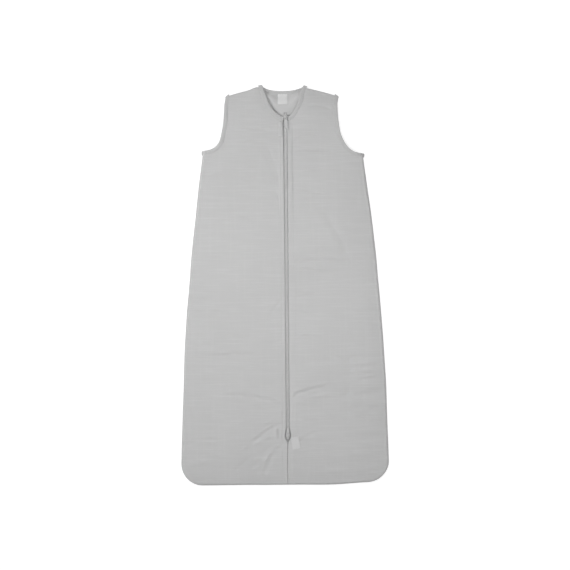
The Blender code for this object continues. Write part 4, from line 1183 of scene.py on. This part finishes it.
def shield_outline(middle_y, facing):
    """Outline of a slider's plates: round shoulders at the wide end, and a narrower mouth."""
    half_points = ((0.0, 6.0), (1.5, 5.9), (2.9, 5.2), (3.9, 3.9), (4.3, 2.2), (4.25, 0.4), (4.05, -1.6))
    half_points += ((3.9, -3.6), (3.85, -5.2), (3.5, -5.8), (2.6, -6.0))
    half = np.array(half_points) * MM
    outline = np.vstack([half, half[::-1][:-1] * (-1, 1)])
    return np.column_stack([ZIP_X + outline[:, 0], middle_y + facing * outline[:, 1]])


def make_slider(name, facing, paint, steel):
    low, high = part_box(f"{name}_slider_body")
    middle_y = (low.y + high.y) / 2
    plate = 0.9 * MM
    shield = shield_outline(middle_y, facing)
    cloth = Cloth()
    cloth.pebble(shield, high.z - plate, high.z, 0.30 * MM, dome=0.14 * MM)
    cloth.pebble(shield, low.z, low.z + plate, 0.22 * MM)
    post_y = sorted((middle_y + facing * 2.2 * MM, middle_y + facing * 5.2 * MM))
    post = rounded_box(ZIP_X - 0.3 * MM, ZIP_X + 0.3 * MM, *post_y, 0.28 * MM, 3)
    cloth.pebble(post, low.z + 0.4 * MM, high.z - 0.4 * MM, 0.04 * MM)
    flange_low = FRONT_TOP + 0.4 * MM
    flange_y = sorted((middle_y - facing * 4.9 * MM, middle_y + facing * 2.8 * MM))
    for sign in (LEFT, RIGHT):
        flange_x = sorted((ZIP_X + sign * 3.25 * MM, ZIP_X + sign * 3.9 * MM))
        flange = rounded_box(*flange_x, *flange_y, 0.28 * MM, 3)
        cloth.pebble(flange, flange_low, high.z - 0.4 * MM, 0.12 * MM)
    body = f"{name}_slider"
    cloth.piece(f"{name}_slider_shell", body, "painted_zinc", [paint], [f"{name}_slider_body"], crisp=True)

    low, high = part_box(f"{name}_slider_cap")
    middle_y, half = (low.y + high.y) / 2, (high.y - low.y) / 2
    turn = np.radians(np.linspace(0, 180, 17))
    rail = np.column_stack([
        np.full(17, ZIP_X),
        middle_y + (half - 0.45 * MM) * np.sign(np.cos(turn)) * np.abs(np.cos(turn)) ** 0.55,
        low.z + 0.05 * MM + (high.z - low.z - 0.50 * MM) * np.sin(turn) ** 0.45,
    ])
    cloth = Cloth()
    section = np.array([(math.cos(a), math.sin(a)) for a in np.linspace(0, 2 * math.pi, 14, endpoint=False)])
    section = np.sign(section) * np.abs(section) ** 0.6
    out = np.cross((1.0, 0.0, 0.0), unit(np.gradient(rail, axis=0)))
    width = np.interp(np.sin(turn), (0, 1), (1.2, 0.95)) * MM
    rings = rail[:, None] + (section[None, :, :1] * width[:, None, None]) * np.array((1.0, 0, 0))
    rings = rings + section[None, :, 1:] * 0.43 * MM * out[:, None]
    cloth.loft(rings)
    node = f"{name}_slider_cap"
    cloth.piece(f"{name}_slider_bridge", body, "painted_zinc", [paint], [node], crisp=True)

    low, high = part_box(f"{name}_slider_lock_spring")
    share = np.linspace(-1, 1, 17)
    y = (low.y + high.y) / 2 + share * (high.y - low.y) / 2
    base = low.z + 0.15 * MM * (1 - share * share)
    half_width = (high.x - low.x) / 2 * (1 - 0.25 * np.abs(share) ** 4)
    corners = ((-1, 0.04), (-0.9, 0.0), (0.9, 0.0), (1, 0.04), (1, 0.26), (0.9, 0.30), (-0.9, 0.30), (-1, 0.26))
    rings = [[(ZIP_X + a * w, v, z + b * MM) for a, b in corners] for v, z, w in zip(y, base, half_width)]
    cloth = Cloth()
    cloth.loft(rings)
    node = f"{name}_slider_lock_spring"
    cloth.piece(f"{name}_slider_spring", body, "spring_steel", [steel], [node], crisp=True)


def make_pull(name, facing, grip_half, lean, paint):
    """The pull: a cast frame that hooks under the bridge, with a raised rim and a dished face."""
    low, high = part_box(f"{name}_pull_tab")
    bar_y = sum(corner.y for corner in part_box(f"{name}_slider_cap")) / 2
    axis_z = (low.z + high.z) / 2
    tip = low.y if facing > 0 else high.y
    inner = bar_y - facing * 4.9 * MM
    cloth = Cloth()
    ends = sorted((tip, inner))
    outline = rounded_box(ZIP_X - grip_half, ZIP_X + grip_half, *ends, 0.75 * grip_half, 7)
    cloth.pebble(outline, axis_z - 0.42 * MM, axis_z + 0.36 * MM, 0.30 * MM)
    rim = rounded_box(
        ZIP_X - grip_half + 0.45 * MM, ZIP_X + grip_half - 0.45 * MM,
        ends[0] + 0.45 * MM, ends[1] - 0.45 * MM, 0.75 * grip_half - 0.2 * MM, 7,
    )
    rim = np.column_stack([rim, np.full(len(rim), axis_z + 0.28 * MM)])
    cloth.tube(rim, 0.24 * MM, sides=6, closed=True)
    for sign in (LEFT, RIGHT):
        arm = np.array((
            (ZIP_X + sign * 2.45 * MM, bar_y, axis_z),
            (ZIP_X + sign * 2.50 * MM, bar_y - facing * 1.6 * MM, axis_z),
            (ZIP_X + sign * 2.35 * MM, bar_y - facing * 3.4 * MM, axis_z),
            (ZIP_X + sign * 1.75 * MM, inner, axis_z),
            (ZIP_X + sign * 1.30 * MM, inner - facing * 1.2 * MM, axis_z),
        ))
        cloth.tube(at_lengths(arm, np.linspace(0, lengths(arm)[-1], 14)), 0.50 * MM, sides=8)
    bar = np.linspace(-2.75, 2.75, 9) * MM
    rod = np.column_stack([ZIP_X + bar, np.full(9, bar_y), np.full(9, axis_z)])
    cloth.tube(rod, 0.52 * MM, sides=12)
    body = f"{name}_pull"
    node, askew = f"{name}_pull_tab", ((ZIP_X, bar_y), lean)
    cloth.piece(f"{name}_pull_frame", body, "painted_zinc", [paint], [node], crisp=True, askew=askew)


# Flaps and labels


def flap_grid(low, high, columns, rows, corner, fixed_side):
    """Plan points of a small flap, with the corners away from its sewn side rounded."""
    across = np.linspace(0, 1, columns)
    y = np.linspace(0, 1, rows)
    end = np.minimum(y, 1 - y) * (high.y - low.y)
    cut = corner - np.sqrt(np.maximum(corner ** 2 - np.maximum(corner - end, 0) ** 2, 1e-12))
    width = (high.x - low.x) - cut
    if fixed_side == LEFT:
        x = low.x + width[:, None] * across
    else:
        x = high.x - width[:, None] * across
    return rows_at(x, low.y + y * (high.y - low.y))


def make_garage(muslin, thread):
    """A folded tab of muslin that lies over the end of the zip."""
    low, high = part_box("zip_garage")
    plan = flap_grid(low, high, 16, 44, 2.5 * MM, RIGHT)
    x, y = plan[..., 0], plan[..., 1]
    out = (high.x - x) / (high.x - low.x)
    end = np.minimum(y - low.y, high.y - y)
    edge = np.minimum(np.minimum(out, 1 - out) * (high.x - low.x), end)
    full = np.sqrt(1 - (1 - np.clip(edge / (0.9 * MM), 0, 1)) ** 2)
    lift = 0.20 * MM * np.sin(math.pi * out) + 0.15 * MM * noise(x, y, 0.006, 0.005, 81)
    pleat = 0.22 * MM * bell(out, 0.50, 0.14)
    bottom = np.maximum(low.z, front_surface(x, y) + 0.12 * MM) + lift * 0.8
    top = bottom + 0.15 * MM + 0.60 * MM * full + pleat * full
    cloth = Cloth()
    cloth.layer(plan, top, bottom)
    line = np.column_stack([plan[2:-2, 2], top[2:-2, 2] + 0.02 * MM])
    cloth.stitches(line, 1, 2.2 * MM, 0.7 * MM, 0.17 * MM)
    garage = cloth.piece("folded_zip_garage", "garage_flap", "muslin", [muslin, thread], ["zip_garage"])


def make_neck_label(satin, thread):
    """A blank woven label stitched flat inside the neck."""
    low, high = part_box("neck_label")
    plan = flap_grid(low, high, 30, 34, 0.3 * MM, LEFT)
    x, y = plan[..., 0], plan[..., 1]
    edge = np.minimum(np.minimum(x - low.x, high.x - x), np.minimum(y - low.y, high.y - y))
    full = np.sqrt(1 - (1 - np.clip(edge / (0.5 * MM), 0, 1)) ** 2)
    wave = 0.30 * MM * (1 + noise(x, y, 0.010, 0.012, 91)) * blend(edge, 0.5 * MM, 4 * MM)
    turned = 0.15 * MM * (1 - blend(np.minimum(y - low.y, high.y - y), 2.8 * MM, 3.4 * MM))
    base = back_lining_top(x, y) + 0.15 * MM
    top = base + 0.10 * MM + (0.35 * MM + turned) * full + wave
    cloth = Cloth()
    cloth.layer(plan, top, base + wave * 0.5)
    for row in (3, -4):
        line = np.column_stack([plan[row, 1:-1], top[row, 1:-1]])
        cloth.stitches(line, 1, 1.7 * MM, 0.5 * MM, 0.14 * MM)
    label = cloth.piece("woven_neck_label", "bag", "label_satin", [satin, thread], ["neck_label"])


def make_side_label(satin, thread):
    """A blank woven label sewn in beside the zip as a loop."""
    low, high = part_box("side_label")
    width = high.x - low.x
    section = np.linspace(0, 1, 26)
    rise_up = 0.7 * MM * section ** 1.6
    gap = 0.28 * MM + 0.35 * MM * np.sin(math.pi * np.clip(section, 0, 1)) ** 0.8
    upper = np.column_stack([low.x + section * (width - 0.5 * MM), low.z + 0.30 * MM + rise_up + gap])
    lower = np.column_stack([low.x + section * (width - 0.5 * MM), low.z + 0.12 * MM + rise_up])
    turn = np.linspace(-80, 80, 7)
    end_middle = (upper[-1] + lower[-1]) / 2
    end_radius = (upper[-1, 1] - lower[-1, 1]) / 2
    bend = np.column_stack([
        end_middle[0] + 1.3 * end_radius * np.cos(np.radians(turn)),
        end_middle[1] + end_radius * np.sin(np.radians(turn)),
    ])
    strip = np.vstack([lower, bend, upper[::-1]])
    normal = left_normals(strip)
    rings = []
    for y in np.linspace(low.y - 2.5 * MM, high.y + 0.8 * MM, 30):
        share = (y - low.y) / (high.y - low.y)
        lift = 0.5 * MM * (share - 0.5) * (strip[:, 0] - low.x) / width
        inside = strip + 0.16 * MM * normal
        ring = np.vstack([strip, inside[::-1]])
        lifted = np.concatenate([lift, lift[::-1]])
        under = front_surface(ring[:, 0], np.full(len(ring), y)) + 0.05 * MM - low.z
        height = ring[:, 1] + lifted + np.maximum(under, 0).max() * 0.5 + np.maximum(under, 0) * 0.5
        rings.append(np.column_stack([ring[:, 0], np.full(len(ring), y), height]))
    cloth = Cloth()
    cloth.loft(rings)
    sewn_y = (low.y + high.y) / 2
    line_y = np.linspace(low.y + 1 * MM, high.y - 1 * MM, 30)
    line_z = np.interp(line_y, [ring[0, 1] for ring in rings], [ring[-1 - 48, 2] for ring in rings])
    line = np.column_stack([np.full(30, low.x + 1.6 * MM), line_y, line_z])
    cloth.stitches(line, 1, 1.8 * MM, 0.6 * MM, 0.14 * MM)
    askew = ((low.x, sewn_y), 8.5)
    looks = [satin, thread]
    label = cloth.piece("folded_side_label", "label_flag", "label_satin", looks, ["side_label"], askew=askew)


# Studio


FLOOR_WIDTH = 24.0
# The rays that see the pale background: straight from the camera, or by way of a mirror or glass.
SEEN_RAYS = ("Camera", "Glossy", "Transmission")


def make_floor():
    shade = Shade("white_table")
    lit = shade.node("BsdfDiffuse", None, {"Color": grey(0.80)})
    seen = shade.node("BsdfDiffuse", None, {"Color": grey(0.36)})
    glow = shade.node("Emission", None, {"Color": grey(1.0), "Strength": 0.80})
    seen = shade.node("AddShader", None, {0: seen, 1: glow})
    camera, *others = (shade.node("LightPath", output=f"Is {ray} Ray") for ray in SEEN_RAYS)
    direct = camera.math("MAXIMUM", others[0]).math("MAXIMUM", others[1])
    shade.node_out(shade.node("MixShader", None, {0: direct, 1: lit, 2: seen}))
    mesh = bpy.data.meshes.new("table_top")
    half = FLOOR_WIDTH / 2
    corners = [(-half, -half, 0), (half, -half, 0), (half, half, 0), (-half, half, 0)]
    mesh.from_pydata(corners, [], [(0, 1, 2, 3)])
    mesh.materials.append(shade.material)
    floor = placed("table_top", mesh)
    floor.location.z = cad_low.z - 0.3 * MM


def make_world():
    world = bpy.data.worlds.new("studio")
    bpy.context.scene.world = world
    world.use_nodes = True
    nodes, links = world.node_tree.nodes, world.node_tree.links
    nodes.clear()
    path = nodes.new("ShaderNodeLightPath")
    most = path.outputs["Is Camera Ray"]
    for ray in SEEN_RAYS[1:]:
        either = nodes.new("ShaderNodeMath")
        either.operation = "MAXIMUM"
        links.new(most, either.inputs[0])
        links.new(path.outputs[f"Is {ray} Ray"], either.inputs[1])
        most = either.outputs[0]
    mix = nodes.new("ShaderNodeMixShader")
    links.new(most, mix.inputs[0])
    for index, strength in ((1, WORLD_STRENGTH), (2, 1.0)):
        background = nodes.new("ShaderNodeBackground")
        background.inputs["Color"].default_value = (1, 1, 1, 1)
        background.inputs["Strength"].default_value = strength
        links.new(background.outputs[0], mix.inputs[index])
    end = nodes.new("ShaderNodeOutputWorld")
    links.new(mix.outputs[0], end.inputs["Surface"])


WORLD_STRENGTH = 0.375
# Each lamp: name, place, what it looks at on the floor, width, power and the spread of its light.
LAMPS = (
    ("key_lamp", (-2.25, 0.95, 1.70), (-0.07, 0.06), 1.0, 16.0, 120),
    ("top_lamp", (-0.05, 0.03, 1.15), (-0.05, 0.03), 0.5, 3.35, 150),
    ("side_lamp", (2.45, 0.10, 1.10), (0.05, 0.0), 1.0, 3.2, 120),
    ("foot_lamp", (0.0, -2.60, 1.10), (0.0, -0.10), 1.0, 1.9, 120),
)


def make_lamps():
    for name, place, aim, size, power, spread_angle in LAMPS:
        data = bpy.data.lights.new(name, "AREA")
        data.shape = "DISK"
        data.size = size
        data.energy = power
        data.spread = math.radians(spread_angle)
        lamp = placed(name, data)
        lamp.location = place
        lamp.rotation_euler = (Vector((*aim, 0)) - Vector(place)).to_track_quat("-Z", "Y").to_euler()
        lamp.visible_camera = False


VIEW_WIDTH = 1.2835
CAMERA_LENS = 85.0
SENSOR = 36.0
CAMERA_X, CAMERA_Y = 0.0040, -0.0005
CAMERA_ROLL = math.radians(-0.47)


def make_camera():
    data = bpy.data.cameras.new("camera")
    data.lens = CAMERA_LENS
    data.sensor_width = SENSOR
    camera = placed("camera", data)
    height = VIEW_WIDTH * CAMERA_LENS / SENSOR + FRONT_EDGE / 2
    camera.location = (CAMERA_X, CAMERA_Y, height)
    camera.rotation_euler = (0, 0, CAMERA_ROLL)
    bpy.context.scene.camera = camera


def build():
    muslin, lining, binding = muslin_finish(), lining_finish(), shaded_binding_finish()
    sewing_thread = thread_finish("sewing_thread", 0.53)
    overlock = thread_finish("overlock_thread_ply", 0.55)
    paint, steel = paint_finish(), steel_finish()
    make_camera()
    make_fronts(muslin, lining, sewing_thread)
    make_back(muslin, lining)
    make_seams(muslin, overlock)
    for sign in (LEFT, RIGHT):
        make_armhole_binding(sign, binding, sewing_thread)
    make_neck_binding(binding, sewing_thread)
    make_coils(coil_finish(), sewing_thread)
    make_tapes(shaded_tape_finish())
    make_guard(lining, sewing_thread)
    make_stops(paint)
    make_slider("top", 1, paint, steel)
    make_slider("bottom", -1, paint, steel)
    make_pull("top", 1, 3.4 * MM, 5.0, paint)
    make_pull("bottom", -1, 2.4 * MM, 2.0, paint)
    make_garage(muslin, sewing_thread)
    # The neck label's satin is a paler copy of the side label's: painted light that lifts the label lying in
    # the neck opening's shade.
    make_neck_label(satin_finish("neck_label_satin_painted_light", 0.660), sewing_thread)
    make_side_label(satin_finish("side_label_satin", 0.545), sewing_thread)
    make_floor()
    make_world()
    make_lamps()
    bpy.context.scene.view_settings.view_transform = "Standard"


build()
